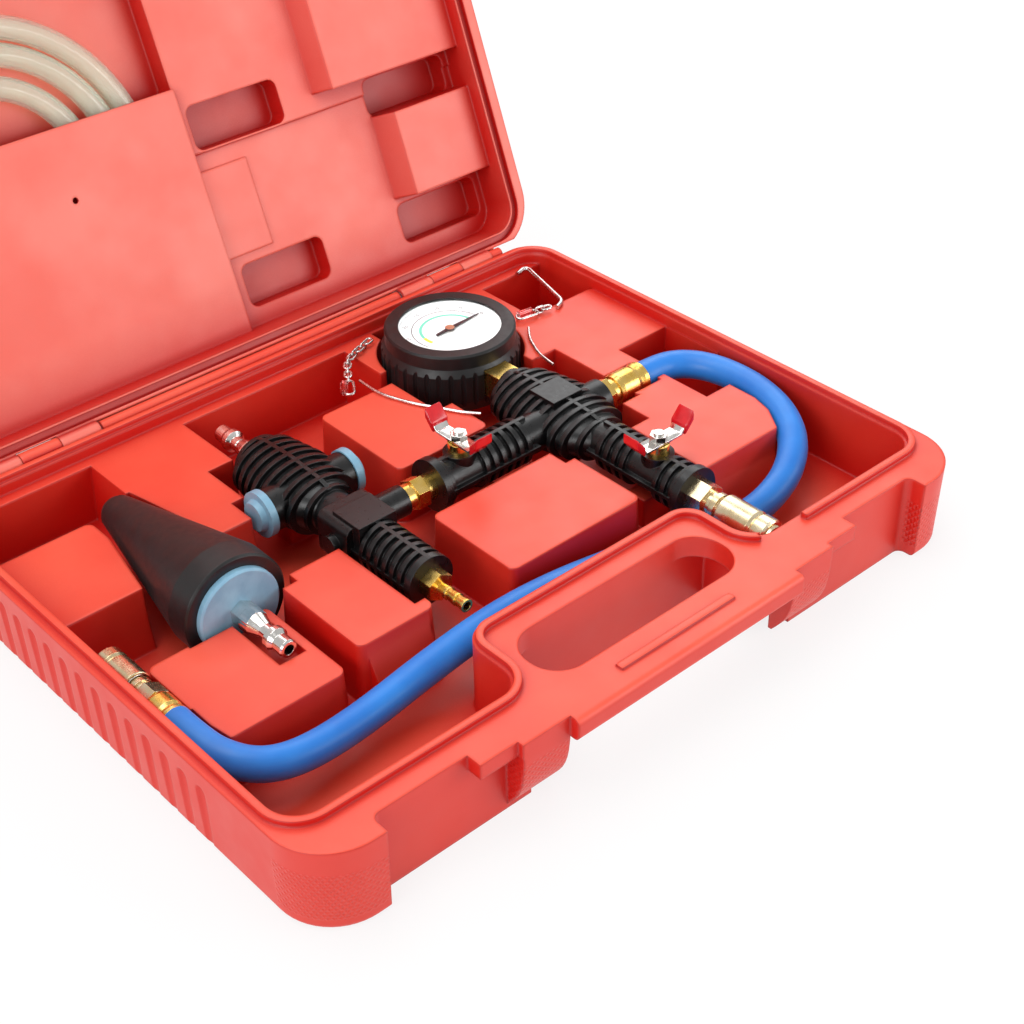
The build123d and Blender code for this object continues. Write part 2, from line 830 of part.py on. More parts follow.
def latch():
    x, y, z = latch_x(), latch_y(), latch_height
    x0, x1 = x - latch_width / 2, x + latch_width / 2
    front = y - latch_barrel_radius
    low = -tab_thickness - seat_gap - latch_hook
    plate = block(x0, x1, front, front + latch_plate, low, z)
    hook = block(x0, x1, front, front + latch_plate + tab_reach / 2, low, low + latch_hook)
    barrel = rod_x(x0, x1, y, z, latch_barrel_radius)
    lift = block(x0, x1, front - latch_plate, front + overrun, low, low + latch_hook)
    body = plate + hook + barrel + lift
    body -= rod_x(x0 - overrun, x1 + overrun, y, z, latch_pin_radius + running_fit)
    return Pos(0, y, z) * Rot(X=-latch_open_angle) * Pos(0, -y, -z) * body


def latch_pins():
    reach = latch_width / 2 + free_gap + ear_width - overrun
    centres = (latch_x(), case_width - latch_x())
    return Compound(children=[rod_x(x - reach, x + reach, latch_y(), latch_height, latch_pin_radius)
                              for x in centres])


# Ribbed nylon bodies

def section_y(x, y, z, width, height):
    return Plane(origin=(x, y, z), x_dir=(1, 0, 0), z_dir=(0, 1, 0)) * Ellipse(width, height)


barrel_length_shares = (0.0, 0.16, 0.5, 0.84, 1.0)
barrel_width_shares = (0.46, 0.84, 1.0, 0.84, 0.46)
barrel_height_shares = (0.72, 0.92, 1.0, 0.92, 0.72)


def share_at(share, shares):
    for i in range(len(barrel_length_shares) - 1):
        low, high = barrel_length_shares[i], barrel_length_shares[i + 1]
        if low <= share <= high:
            part = (share - low) / (high - low)
            return shares[i] + (shares[i + 1] - shares[i]) * part
    return shares[-1]


def barrel(x, y0, length, z, half_width, half_height, size=1):
    sections = []
    for along, wide, tall in zip(barrel_length_shares, barrel_width_shares, barrel_height_shares):
        sections.append(section_y(x, y0 + length * along, z, half_width * wide * size,
                                  half_height * tall * size))
    return loft(sections, ruled=True)


def ribbed_barrel(x, y0, length, z, half_width, half_height):
    core = barrel(x, y0, length, z, half_width, half_height, core_share)
    count = int((length - rib_thickness) / rib_pitch)
    first = y0 + (length - rib_pitch * count) / 2
    ribs = []
    for i in range(count + 1):
        y = first + rib_pitch * i
        share = (y - y0) / length
        rib = section_y(x, y, z, half_width * share_at(share, barrel_width_shares),
                        half_height * share_at(share, barrel_height_shares))
        ribs.append(extrude(rib, amount=rib_thickness / 2, both=True))
    ridge = block(x - ridge_width / 2, x + ridge_width / 2, y0 + rib_thickness,
                  y0 + length - rib_thickness, z, z + half_height)
    ridge = ridge & barrel(x, y0, length, z, half_width, half_height)
    return core + ribs + ridge


def valve_arm(length, ball_place):
    # An arm along X from its tip at zero: core, ribs, side flanges and the ball chamber
    start = collar_length
    arm = rod_x(start, length + body_half_width / 2, 0, 0, arm_core_radius)
    count = int((length - start) / arm_rib_pitch)
    for i in range(count):
        x = start + arm_rib_pitch * i
        if abs(x + rib_thickness / 2 - ball_place) > gland_radius + rib_thickness:
            arm += rod_x(x, x + rib_thickness, 0, 0, arm_rib_radius)
    arm += block(start, length, -flange_half_width, flange_half_width, -flange_thickness / 2,
                 flange_thickness / 2)
    arm += block(start, length, -ridge_width / 2, ridge_width / 2, 0, arm_rib_radius)
    arm += rod_z(ball_place, 0, 0, gland_bottom + axis_drop + rib_thickness, gland_radius + rib_thickness)
    chamber_end = ball_place + ball_radius + rib_thickness
    arm -= rod_x(start - overrun, chamber_end, 0, 0, collar_plug_radius)
    arm -= rod_x(0, length * 2, 0, 0, flow_radius)
    arm -= rod_z(ball_place, 0, 0, ball_radius * 3, stem_radius + running_fit)
    return arm - rod_z(ball_place, 0, gland_bottom + axis_drop, ball_radius * 3,
                       gland_radius + running_fit)


def place_left_arm():
    return along_x(arm_tip_x, arm_y, axis_z)


def place_front_arm():
    return along_y(manifold_x, arm_tip_y, axis_z)


def manifold_body():
    y0 = manifold_y - body_half_length
    body = ribbed_barrel(manifold_x, y0, body_half_length * 2, axis_z, body_half_width, body_half_height)
    body += block(manifold_x - blank_pad_width / 2, manifold_x + blank_pad_width / 2,
                  manifold_y - blank_pad_length / 2, manifold_y + blank_pad_length / 2,
                  axis_z, axis_z + body_half_height + flange_thickness / 4)
    body += rod_x(manifold_x, hose_fitting_x, arm_y, axis_z, arm_core_radius)
    body += rod_y(manifold_x, manifold_y, manifold_y + body_half_length, axis_z, arm_core_radius)
    body += place_left_arm() * valve_arm(arm_length, ball_setback)
    body += place_front_arm() * valve_arm(front_arm_length, front_ball_setback)
    body -= rod_x(arm_tip_x + arm_length, hose_fitting_x + overrun, arm_y, axis_z, flow_radius)
    body -= rod_y(manifold_x, arm_tip_y + front_arm_length, manifold_y + body_half_length + overrun,
                  axis_z, flow_radius)
    socket = union_radius + running_fit
    body -= rod_x(hose_fitting_x - thread_depth, hose_fitting_x + overrun, arm_y, axis_z, socket)
    far = manifold_y + body_half_length
    return body - rod_y(manifold_x, far - thread_depth, far + overrun, axis_z, socket)


# Ball valves, each built along X from the arm tip

def arm_collar(ball_place):
    plug_end = ball_place - ball_radius / 2 - seat_length + overrun / 2
    collar = rod_x(0, collar_length, 0, 0, collar_radius)
    collar += rod_x(0, plug_end, 0, 0, collar_plug_radius - running_fit)
    collar -= rod_x(-overrun, thread_depth, 0, 0, union_radius + running_fit)
    return collar - rod_x(0, plug_end + overrun, 0, 0, flow_radius)


def valve_seats(ball_place):
    outer = ball_radius / 2 + seat_length - overrun / 2
    ring = rod_x(ball_place - outer, ball_place - ball_radius / 2, 0, 0,
                 collar_plug_radius - running_fit)
    ring -= rod_x(ball_place - outer, ball_place, 0, 0, flow_radius)
    ring -= Pos(ball_place, 0, 0) * Sphere(ball_radius + running_fit)
    return [ring, mirror(ring, Plane.YZ.offset(ball_place))]


def valve_ball(ball_place):
    ball = Sphere(ball_radius) - rod_y(0, -ball_radius, ball_radius, 0, flow_radius)
    ball -= block(-tang_thickness / 2 - running_fit, tang_thickness / 2 + running_fit, -ball_radius,
                  ball_radius, ball_radius - tang_depth, ball_radius)
    return Pos(ball_place, 0, 0) * ball


def valve_stem(ball_place):
    low = ball_radius - tang_depth + running_fit
    tang = block(-tang_thickness / 2, tang_thickness / 2, -stem_radius, stem_radius, low,
                 ball_radius + tang_depth)
    tang = tang & rod_z(0, 0, 0, ball_radius * 2, stem_radius)
    rod = rod_z(0, 0, ball_radius + running_fit, stem_top + axis_drop, stem_radius)
    return Pos(ball_place, 0, 0) * (rod + tang)


def stem_gland(ball_place):
    gland = rod_z(0, 0, gland_bottom + axis_drop, gland_top + axis_drop, gland_radius)
    gland -= rod_z(0, 0, 0, stem_top + axis_drop, stem_radius + running_fit)
    return Pos(ball_place, 0, 0) * gland


def wing_outline(start, end, grow):
    # Side view of one wing from the hub outwards, in X and Z
    low = gland_top + axis_drop + seat_gap
    top = low + handle_plate
    slope = handle_rise / handle_rise_run
    if start < handle_flat:
        return Polyline((start, low), (handle_flat, low), (end, low + handle_rise),
                        (end, top + handle_rise), (handle_flat, top), (start, top), close=True)
    rise = (start - handle_flat) * slope
    return Polyline((start, low + rise - grow), (end, low + handle_rise - grow),
                    (end, top + handle_rise + grow / 2), (start, top + rise + grow), close=True)


def wing(start, end, grow):
    side = Rot(X=quarter) * make_face(wing_outline(start, end, grow))
    return extrude(side, amount=handle_half_width + grow, both=True)


def both_wings(shape):
    return shape + Rot(Z=half_turn) * shape


def valve_handle(ball_place):
    low = gland_top + axis_drop + seat_gap
    tip = handle_flat + handle_rise_run
    handle = both_wings(wing(0, tip, 0)) + rod_z(0, 0, low, low + handle_plate, handle_hub_radius)
    handle -= rod_z(0, 0, 0, stem_top + axis_drop, stem_radius)
    return Pos(ball_place, 0, 0) * Rot(Z=quarter) * handle


def valve_grips(ball_place):
    tip = handle_flat + handle_rise_run
    start = handle_flat + handle_rise_run * (1 - grip_share)
    cap = wing(start, tip + grip_wall, grip_wall)
    cap = fillet(cap.edges().filter_by(Axis.Z).sort_by(Axis.X)[-2:], grip_wall)
    cap -= wing(0, tip, 0)
    caps = [Pos(ball_place, 0, 0) * Rot(Z=turn + quarter) * cap for turn in (0, half_turn)]
    return caps


def valve_nut(ball_place):
    low = gland_top + axis_drop + seat_gap + handle_plate
    nut = extrude(RegularPolygon(nut_across / 2, hex_sides, major_radius=False), amount=nut_height)
    nut = Pos(0, 0, low) * nut
    return Pos(ball_place, 0, 0) * (nut - rod_z(0, 0, 0, low + nut_height * 2, stem_radius))


# Union between the venturi's side port and the left arm

def union_fitting():
    far = thread_depth + union_length
    end = far + thread_depth - seat_gap
    flare = thread_depth + (union_length - union_hex_length) / 2
    body = turned([(seat_gap, union_bore), (seat_gap, union_radius), (thread_depth, union_radius),
                   (thread_depth, union_radius + free_gap), (far, union_radius + free_gap),
                   (far, union_radius), (end, union_radius), (end, union_bore)])
    body += hexagon(flare, flare + union_hex_length, union_hex_across)
    body -= rod_x(0, end + overrun, 0, 0, union_bore)
    return along_x(arm_tip_x - union_length - thread_depth, arm_y, axis_z) * body


# Venturi vacuum pump

def venturi_body():
    body = ribbed_barrel(venturi_x, pump_front, pump_length, axis_z, pump_half_width, pump_half_height)
    body += rod_y(venturi_x, arm_y, pump_front + rib_pitch, axis_z, neck_radius)
    top = axis_z + junction_half - overrun
    junction = block(venturi_x - junction_half, venturi_x + junction_half, arm_y - junction_half,
                     arm_y + junction_half / 2, axis_z - junction_half + overrun * 2, top - overrun * 2)
    junction = fillet(junction.edges().filter_by(Axis.Y), junction_half / 3)
    body += junction
    body += block(venturi_x - junction_pad_width / 2, venturi_x + junction_pad_width / 2,
                  arm_y - junction_pad_length, arm_y, axis_z, top)
    body += rod_x(venturi_x - junction_half - boss_length, venturi_x, arm_y - boss_radius, axis_z,
                  boss_radius)
    port_end = venturi_x + port_reach
    body += rod_x(venturi_x, port_end, arm_y, axis_z, port_radius)
    body += rod_y(venturi_x, tail_front, arm_y, axis_z, tail_core_radius)
    count = int((tail_length - tail_ring_length) / arm_rib_pitch)
    for i in range(count):
        y = tail_front + tail_ring_length + arm_rib_pitch * i + rib_thickness
        body += rod_y(venturi_x, y, y + rib_thickness, axis_z, tail_radius)
    body += rod_y(venturi_x, tail_front, tail_front + tail_ring_length, axis_z, tail_radius)
    body += block(venturi_x - ridge_width / 2, venturi_x + ridge_width / 2, tail_front, arm_y,
                  axis_z, axis_z + tail_radius)
    body += block(venturi_x - tail_radius, venturi_x + tail_radius, tail_front, arm_y,
                  axis_z - flange_thickness / 2, axis_z + flange_thickness / 2)
    side = silencer_seat_reach()
    body += rod_x(venturi_x - side, venturi_x + side, silencer_y, axis_z,
                  silencer_step_radius + rib_thickness)
    body -= rod_y(venturi_x, tail_front - overrun, pump_back - nipple_thread_length, axis_z, pump_bore)
    body -= rod_y(venturi_x, pump_back - nipple_thread_length - overrun, pump_back + overrun, axis_z,
                  nipple_thread_radius + running_fit)
    body -= rod_x(venturi_x, port_end + overrun, arm_y, axis_z, flow_radius)
    body -= rod_x(port_end - thread_depth, port_end + overrun, arm_y, axis_z,
                  union_radius + running_fit)
    body -= rod_x(venturi_x - side - overrun, venturi_x + side + overrun, silencer_y, axis_z,
                  silencer_step_radius / 2)
    return body


def silencer_seat_reach():
    return pump_half_width


def silencers():
    # Stepped discs that close the two exhaust ports
    side = silencer_seat_reach() + running_fit
    plug = pump_half_width / 3
    disc = turned([(side - plug, 0), (side - plug, silencer_step_radius / 2 - running_fit),
                   (side, silencer_step_radius / 2 - running_fit), (side, silencer_radius),
                   (side + silencer_thickness, silencer_radius),
                   (side + silencer_thickness, silencer_step_radius),
                   (side + silencer_thickness + silencer_step, silencer_step_radius - overrun),
                   (side + silencer_thickness + silencer_step, 0)])
    return [along_x(venturi_x, silencer_y, axis_z) * disc,
            along_minus_x(venturi_x, silencer_y, axis_z) * disc]


def venturi_nozzle():
    # The jet inside the pump that draws the vacuum
    jet = turned([(0, nozzle_throat), (0, pump_bore - running_fit), (nozzle_length / 4, pump_bore - running_fit),
                  (nozzle_length / 4, nozzle_radius), (nozzle_length, nozzle_throat + overrun),
                  (nozzle_length, nozzle_throat)])
    return along_minus_y(venturi_x, pump_back - nipple_thread_length - seat_gap, axis_z) * jet


def barbs(start, pitch, count, radius, bore, end):
    profile = [(start, bore)]
    for i in range(count):
        x = start + pitch * i
        profile += [(x, radius - radius / 5), (x + pitch - pitch / 8, radius), (x + pitch, radius)]
    profile += [(end, radius - radius / 4), (end, bore)]
    return turned(profile)


def air_nipple(thread):
    # Plug with a hex, a locking groove and a hollow tip, along X from its shoulder
    body = turned([(-thread, nipple_bore), (-thread, nipple_thread_radius), (0, nipple_thread_radius),
                   (0, nipple_radius), (nipple_hex_length, nipple_radius),
                   (nipple_length * 0.42, nipple_tip_radius), (nipple_length * 0.55, nipple_tip_radius),
                   (nipple_length * 0.6, nipple_radius), (nipple_length * 0.7, nipple_radius),
                   (nipple_length * 0.78, nipple_tip_radius + free_gap),
                   (nipple_length * 0.97, nipple_tip_radius + free_gap),
                   (nipple_length, nipple_tip_radius), (nipple_length, nipple_bore)])
    body += hexagon(0, nipple_hex_length, nipple_hex_across)
    return body - rod_x(-thread - overrun, nipple_length + overrun, 0, 0, nipple_bore)


def tail_fitting():
    # Brass exhaust barb with its hex, screwed into the tail
    body = turned([(-thread_depth, barb_bore), (-thread_depth, pump_bore - running_fit),
                   (0, pump_bore - running_fit), (tail_hex_length, pump_bore - running_fit),
                   (tail_hex_length, barb_bore)])
    body += hexagon(0, tail_hex_length, tail_hex_across)
    body += barbs(tail_hex_length, barb_length / barb_count, barb_count, barb_radius, barb_bore,
                  tail_hex_length + barb_length)
    body -= rod_x(-thread_depth * 2, tail_hex_length + barb_length + overrun, 0, 0, barb_bore)
    return along_minus_y(venturi_x, tail_front, axis_z) * body


# Radiator cone adapter

cone_core_length_share = 0.4


def cone_rubber():
    end = cone_length
    shape = turned([(0, 0), (0, cone_radius - overrun), (overrun, cone_radius), (cone_collar, cone_radius),
                    (end - cone_tip_rounding, cone_tip_radius + free_gap),
                    (end - cone_tip_rounding / 3, cone_tip_radius - overrun), (end, cone_tip_radius / 2),
                    (end, 0)])
    core = cone_length * cone_core_length_share
    shape -= rod_x(-overrun, core, 0, 0, cone_nipple_radius + running_fit)
    shape -= rod_x(0, end + overrun, 0, 0, cone_bore / 2)
    return along_y(cone_x, cone_front, cone_z) * shape


def cone_washer():
    disc = turned([(0, cone_nipple_radius + running_fit), (0, washer_radius - overrun),
                   (overrun, washer_radius), (washer_thickness, washer_radius),
                   (washer_thickness, cone_nipple_radius + running_fit)])
    return along_y(cone_x, cone_front - washer_thickness, cone_z) * disc


def cone_nipple():
    core = cone_length * cone_core_length_share - overrun
    face = washer_thickness
    body = turned([(-core - face, cone_bore / 2), (-core - face, cone_nipple_radius),
                   (0, cone_nipple_radius), (nipple_hex_length, cone_nipple_radius),
                   (nipple_hex_length, cone_bore / 2)])
    body += hexagon(0, nipple_hex_length, nipple_hex_across)
    body += Pos(nipple_hex_length, 0, 0) * air_nipple(nipple_hex_length)
    body -= rod_x(-core * 2, nipple_length * 2, 0, 0, cone_bore / 2)
    return along_minus_y(cone_x, cone_front - face, cone_z) * body


# Vacuum gauge, lying face up in a rubber boot

def spun(profile):
    # A profile of (radius, height) pairs turned about Z
    return revolve(Plane.XZ * make_face(Polyline(*profile, close=True)), axis=Axis.Z)


boot_inner = boot_radius - boot_wall
can_radius = boot_inner - running_fit
boot_shoulder_share = 0.22
window_radius = dial_radius - overrun
lens_top = boot_top - boot_lip_height
lens_bottom = lens_top - lens_thickness
dial_top = lens_bottom - lens_gap
dial_bottom = dial_top - dial_thickness
ledge_radius = dial_radius - overrun * 2
stem_end = gauge_y - can_radius + stem_block / 2


def at_gauge():
    return Pos(gauge_x, gauge_y, 0)


def gauge_boot():
    height = boot_top - boot_bottom
    shoulder = boot_top - height * boot_shoulder_share
    body = spun([(0, boot_bottom), (boot_top_radius - boot_wall, boot_bottom),
                 (boot_top_radius, boot_bottom + boot_wall / 2),
                 (boot_radius, boot_bottom + boot_wall * 2), (boot_radius, shoulder - boot_wall),
                 (boot_top_radius, shoulder), (boot_top_radius, boot_top - overrun),
                 (boot_top_radius - overrun, boot_top), (0, boot_top)])
    cuts = []
    for i in range(scallop_count):
        turn = Rot(Z=i * 360 / scallop_count)
        cuts.append(turn * rod_z(boot_radius + scallop_radius / 3, 0, boot_bottom - overrun,
                                 scallop_top, scallop_radius))
    body -= cuts
    body -= rod_z(0, 0, boot_bottom + boot_wall, lens_top, boot_inner)
    body -= rod_z(0, 0, boot_bottom, boot_top + overrun, window_radius)
    body += rod_z(0, 0, boot_bottom, boot_bottom + boot_wall, window_radius + overrun)
    half = stem_block / 2 + running_fit
    body -= block(-half, half, -boot_radius - overrun, -boot_inner + boot_wall, axis_z - half,
                  axis_z + half)
    return at_gauge() * body


def gauge_can():
    bottom = boot_bottom + boot_wall
    body = rod_z(0, 0, bottom, lens_top, can_radius)
    body -= rod_z(0, 0, bottom + can_wall, lens_top, ledge_radius)
    body -= rod_z(0, 0, dial_bottom, lens_top + overrun, dial_radius + running_fit)
    body -= rod_y(0, -can_radius - overrun, -ledge_radius / 2, axis_z, stem_shank_radius + running_fit)
    return at_gauge() * body


def gauge_dial():
    disc = rod_z(0, 0, dial_bottom, dial_top, dial_radius)
    return at_gauge() * (disc - rod_z(0, 0, dial_bottom - overrun, dial_top + overrun, arbor_radius * 2))


def gauge_spacer():
    ring = rod_z(0, 0, dial_top, lens_bottom, dial_radius)
    return at_gauge() * (ring - rod_z(0, 0, dial_top, lens_bottom, dial_radius - can_wall / 2))


def gauge_lens():
    return at_gauge() * rod_z(0, 0, lens_bottom, lens_top, dial_radius)


def gauge_needle():
    low = dial_top + free_gap
    top = low + needle_thickness
    half = needle_half_width
    pointer = slab([(-needle_tail, half), (-needle_tail, -half), (0, -half * 2),
                    (needle_length, -half / 4), (needle_length, half / 4), (0, half * 2)], low, top)
    hub = rod_z(0, 0, low, low + needle_hub_height, needle_hub_radius)
    arbor = rod_z(0, 0, movement_low() - overrun / 2, top, arbor_radius)
    return at_gauge() * Rot(Z=needle_rest_angle) * (pointer + hub + arbor)


def movement_low():
    return axis_z + stem_shank_radius


def gauge_movement():
    # Two plates on posts that carry the needle's arbor, seated on the stem's socket
    low, half_x = movement_low(), movement_width / 2
    front, back = -movement_length, movement_length / 2
    high = dial_bottom - movement_plate - free_gap
    body = block(-half_x, half_x, front, back, low, low + movement_plate)
    body += block(-half_x, half_x, -half_x, back, high, high + movement_plate)
    inset = movement_post_radius * 2
    for x in (-half_x + inset, half_x - inset):
        for y in (-half_x + inset, back - inset):
            body += rod_z(x, y, low, high + movement_plate, movement_post_radius)
    return at_gauge() * (body - rod_z(0, 0, low - overrun, dial_bottom, arbor_radius + running_fit))


def gauge_stem():
    # Square brass block with its thread in the manifold and its shank in the case
    near = manifold_y + body_half_length
    shank_end = gauge_y - ledge_radius / 2
    body = rod_y(gauge_x, near - thread_depth + seat_gap, near, axis_z, union_radius)
    body += block(gauge_x - stem_block / 2, gauge_x + stem_block / 2, near, near + stem_block_length,
                  axis_z - stem_block / 2, axis_z + stem_block / 2)
    body += rod_y(gauge_x, near, shank_end, axis_z, stem_shank_radius)
    return body - rod_y(gauge_x, near - thread_depth, shank_end - stem_shank_radius, axis_z, cone_bore / 2)


def bourdon_tube():
    section = Plane.XZ * Pos(tube_ring_radius, axis_z) * Circle(tube_radius)
    tube = Rot(Z=-quarter) * revolve(section, axis=Axis.Z, revolution_arc=tube_arc)
    start = -ledge_radius
    return at_gauge() * (tube - rod_y(0, start, 0, axis_z, stem_shank_radius))


# Quick couplers, along X from the hex to the open mouth

spring_radius = coupler_barrel_radius + free_gap + spring_wire_radius / 3
sleeve_bore = spring_radius + spring_wire_radius + seat_gap
collar_front = coupler_hex_length * 1.7
sleeve_front = coupler_length - coupler_lip_length - seat_gap / 2
sleeve_shoulder = sleeve_front - sleeve_length / 3


def coupler_body(tail):
    collar_back = coupler_hex_length * 1.4
    lip_back = coupler_length - coupler_lip_length
    barrel_radius = coupler_barrel_radius
    body = turned([(0, 0), (0, coupler_neck_radius), (collar_back, coupler_neck_radius),
                   (collar_back, coupler_collar_radius), (collar_front, coupler_collar_radius),
                   (collar_front, barrel_radius), (lip_back, barrel_radius),
                   (lip_back, barrel_radius + coupler_lip), (coupler_length, barrel_radius + coupler_lip / 2),
                   (coupler_length, 0)])
    body += hexagon(0, coupler_hex_length, coupler_hex_across)
    if tail:
        body += rod_x(-tail, coupler_hex_length, 0, 0, union_radius)
    body -= rod_x(coupler_length / 2, coupler_length + overrun, 0, 0, coupler_bore)
    return body - rod_x(-tail - overrun, coupler_length, 0, 0, coupler_through)


def coupler_sleeve():
    back = sleeve_front - sleeve_length
    groove = sleeve_front - sleeve_length / 4
    sleeve = turned([(back, sleeve_bore), (back, sleeve_radius - overrun / 2),
                     (back + overrun / 2, sleeve_radius), (groove - sleeve_groove_width, sleeve_radius),
                     (groove - sleeve_groove_width / 2, sleeve_radius - sleeve_groove),
                     (groove, sleeve_radius), (sleeve_front - overrun, sleeve_radius),
                     (sleeve_front, sleeve_radius - overrun),
                     (sleeve_front, coupler_barrel_radius + running_fit),
                     (sleeve_shoulder, coupler_barrel_radius + running_fit),
                     (sleeve_shoulder, sleeve_bore)])
    return sleeve


def coupler_spring(size):
    start = size * (collar_front + spring_wire_radius + running_fit)
    end = size * (sleeve_shoulder - sleeve_travel - spring_wire_radius - seat_gap)
    coil = Helix(pitch=(end - start) / spring_turns, height=end - start, radius=spring_radius * size)
    wire = Plane(origin=coil @ 0, z_dir=coil % 0) * Circle(spring_wire_radius * size)
    return Pos(start, 0, 0) * Rot(Y=quarter) * sweep(wire, path=coil)


def front_coupler_place():
    return along_minus_y(manifold_x, arm_tip_y, axis_z)


def left_coupler_place():
    return along_y(left_coupler_x, left_coupler_y, left_coupler_z)


# Fittings of the blue hose

def ferrule(length, radius):
    ring = radius - ferrule_wall
    bead = length / 8
    return turned([(0, hose_bore), (0, ring), (bead, radius), (length - bead * 3, radius),
                   (length - bead * 2, ring), (length - bead, radius), (length, radius),
                   (length, hose_bore)])


def hose_swivel():
    # Brass nut and tail that hold the hose on the manifold's outlet
    body = rod_x(-thread_depth + seat_gap, 0, 0, 0, union_radius)
    body += hexagon(0, swivel_nut_length / 2, swivel_nut_across)
    body += rod_x(swivel_nut_length / 2 - overrun / 2, swivel_nut_length, 0, 0, union_radius + overrun)
    body -= rod_x(-thread_depth, swivel_nut_length + overrun, 0, 0, union_bore)
    return along_x(hose_fitting_x, arm_y, axis_z) * body


def hose_ferrules():
    right = along_x(hose_fitting_x + swivel_nut_length, arm_y, axis_z)
    left_length = ferrule_length * left_ferrule_share
    left = along_minus_y(left_coupler_x, left_coupler_y, left_coupler_z)
    return [right * ferrule(ferrule_length, ferrule_radius),
            left * ferrule(left_length, ferrule_radius * hose_coupler_share + ferrule_wall / 2)]


left_ferrule_share = 0.7
hose_start = (hose_fitting_x + swivel_nut_length + ferrule_length, arm_y, axis_z)
hose_end = (left_coupler_x, left_coupler_y - ferrule_length * left_ferrule_share, left_coupler_z)

# Route of the hose round the tray, from the outlet to the left coupler
hose_route = [
    (358.0, 172.0, -8.0), (370.5, 167.5, -8.2), (379.5, 156.0, -8.4), (383.4, 139.0, -8.6),
    (382.6, 119.0, -9.0), (376.5, 98.0, -10.2), (364.0, 79.5, -13.5), (345.0, 67.5, -19.0),
    (321.0, 63.5, -24.5), (296.0, 67.0, -26.8), (270.0, 77.6, -26.6), (236.0, 79.4, -25.4),
    (196.0, 78.3, -24.6), (152.0, 79.6, -24.4), (110.0, 78.4, -23.8), (74.0, 75.2, -22.4),
    (48.0, 72.6, -20.2), (29.5, 77.0, -17.6), (18.9, 90.5, -15.0), (16.48, 106.5, -14.0),
]


def corner_radii(points):
    radii = []
    for before, here, after in zip(points, points[1:], points[2:]):
        first, second = Vector(*here) - Vector(*before), Vector(*after) - Vector(*here)
        turn = radians(first.get_angle(second))
        radii.append(0.45 * min(first.length, second.length) / tan(turn / 2))
    return radii


def blue_hose():
    points = [hose_start] + hose_route + [hose_end]
    radii = corner_radii(points)
    print("hose corner radii", [round(r) for r in radii])
    path = FilletPolyline(*points, radius=radii)
    tube = sweep(Plane(origin=path @ 0, z_dir=path % 0) * Circle(hose_radius), path=path)
    share = tube.volume / (pi * hose_radius ** 2 * path.length)
    print("hose length", round(path.length), "volume over section times length", round(share, 4))
    return tube


# Hanging hook, its chain, clips and wire, lying on the deck

wire_z = deck + wire_radius + seat_gap
hook_z = deck + hook_wire_radius + seat_gap
hook_shares = [(0.925, 0.948), (0.949, 0.9575), (0.918, 0.816), (0.9, 0.806)]
right_wire_shares = [(0.834, 0.79), (0.8155, 0.762), (0.797, 0.712), (0.792, 0.668)]
left_wire_shares = [(0.578, 0.857), (0.5765, 0.8), (0.594, 0.738), (0.612, 0.699),
                    (0.626, 0.664), (0.642, 0.638)]
left_chain_shares = [(0.5625, 0.862), (0.593, 0.918), (0.66, 0.9495)]
right_chain_shares = [(0.868, 0.817), (0.892, 0.812)]


def on_deck(shares, height):
    return [(case_width * x, case_depth * y, height) for x, y in shares]


def bent_wire(points, radius):
    path = FilletPolyline(*points, radius=corner_radii(points))
    return sweep(Plane(origin=path @ 0, z_dir=path % 0) * Circle(radius), path=path)


def chain_link():
    half = (link_length - link_width) / 2
    bow = (link_width - link_wire_radius * 2) / 2
    section = Plane.XZ * Pos(bow, 0) * Circle(link_wire_radius)
    end = Pos(0, 0, 0) * Rot(Z=-quarter) * revolve(section, axis=Axis.Z, revolution_arc=half_turn)
    link = Pos(half, 0, 0) * end + Pos(-half, 0, 0) * Rot(Z=half_turn) * end
    for y in (-bow, bow):
        link += rod_x(-half, half, y, 0, link_wire_radius)
    return link


def link_pitch():
    return link_length - link_wire_radius * 4 - seat_gap


def chain(shares):
    # Links along the runs of a route, every other one turned on its side
    pitch = link_pitch()
    height = deck + link_width / 2 + seat_gap
    links, link = [], chain_link()
    points = on_deck(shares, height)
    path = Polyline(*points) if len(points) < 3 else FilletPolyline(*points, radius=corner_radii(points))
    count = int(path.length / pitch)
    for i in range(count):
        place = path.position_at((i + 0.5) * pitch / path.length)
        heading = path.tangent_at((i + 0.5) * pitch / path.length)
        turn = degrees(atan2(heading.Y, heading.X))
        links.append(Pos(*place) * Rot(Z=turn) * Rot(X=quarter * (1 - i % 2)) * link)
    return links


def clip_places():
    # A clip at the start of each chain, with its end wire through the first link
    hold = clip_length / 2 - clip_wire_radius * 2 - link_wire_radius - seat_gap / 2
    hold += (link_length / 2 - link_wire_radius) - link_pitch() / 2
    height = deck + sleeve_tube_radius + seat_gap
    places = []
    for shares in (left_chain_shares, right_chain_shares):
        first, second = on_deck(shares, height)[:2]
        turn = atan2(second[1] - first[1], second[0] - first[0])
        centre = (first[0] - hold * cos(turn), first[1] - hold * sin(turn), height)
        places.append(Pos(*centre) * Rot(Z=degrees(turn)))
    return places


def clip_bow():
    return (clip_width - clip_wire_radius * 2) / 2


def clip_frames():
    half = (clip_length - clip_width) / 2
    section = Plane.XZ * Pos(clip_bow(), 0) * Circle(clip_wire_radius)
    end = Rot(Z=-quarter) * revolve(section, axis=Axis.Z, revolution_arc=half_turn)
    frame = Pos(half, 0, 0) * end + Pos(-half, 0, 0) * Rot(Z=half_turn) * end
    for side in (-clip_bow(), clip_bow()):
        frame += rod_x(-half, half, side, 0, clip_wire_radius)
    return [place * frame for place in clip_places()]


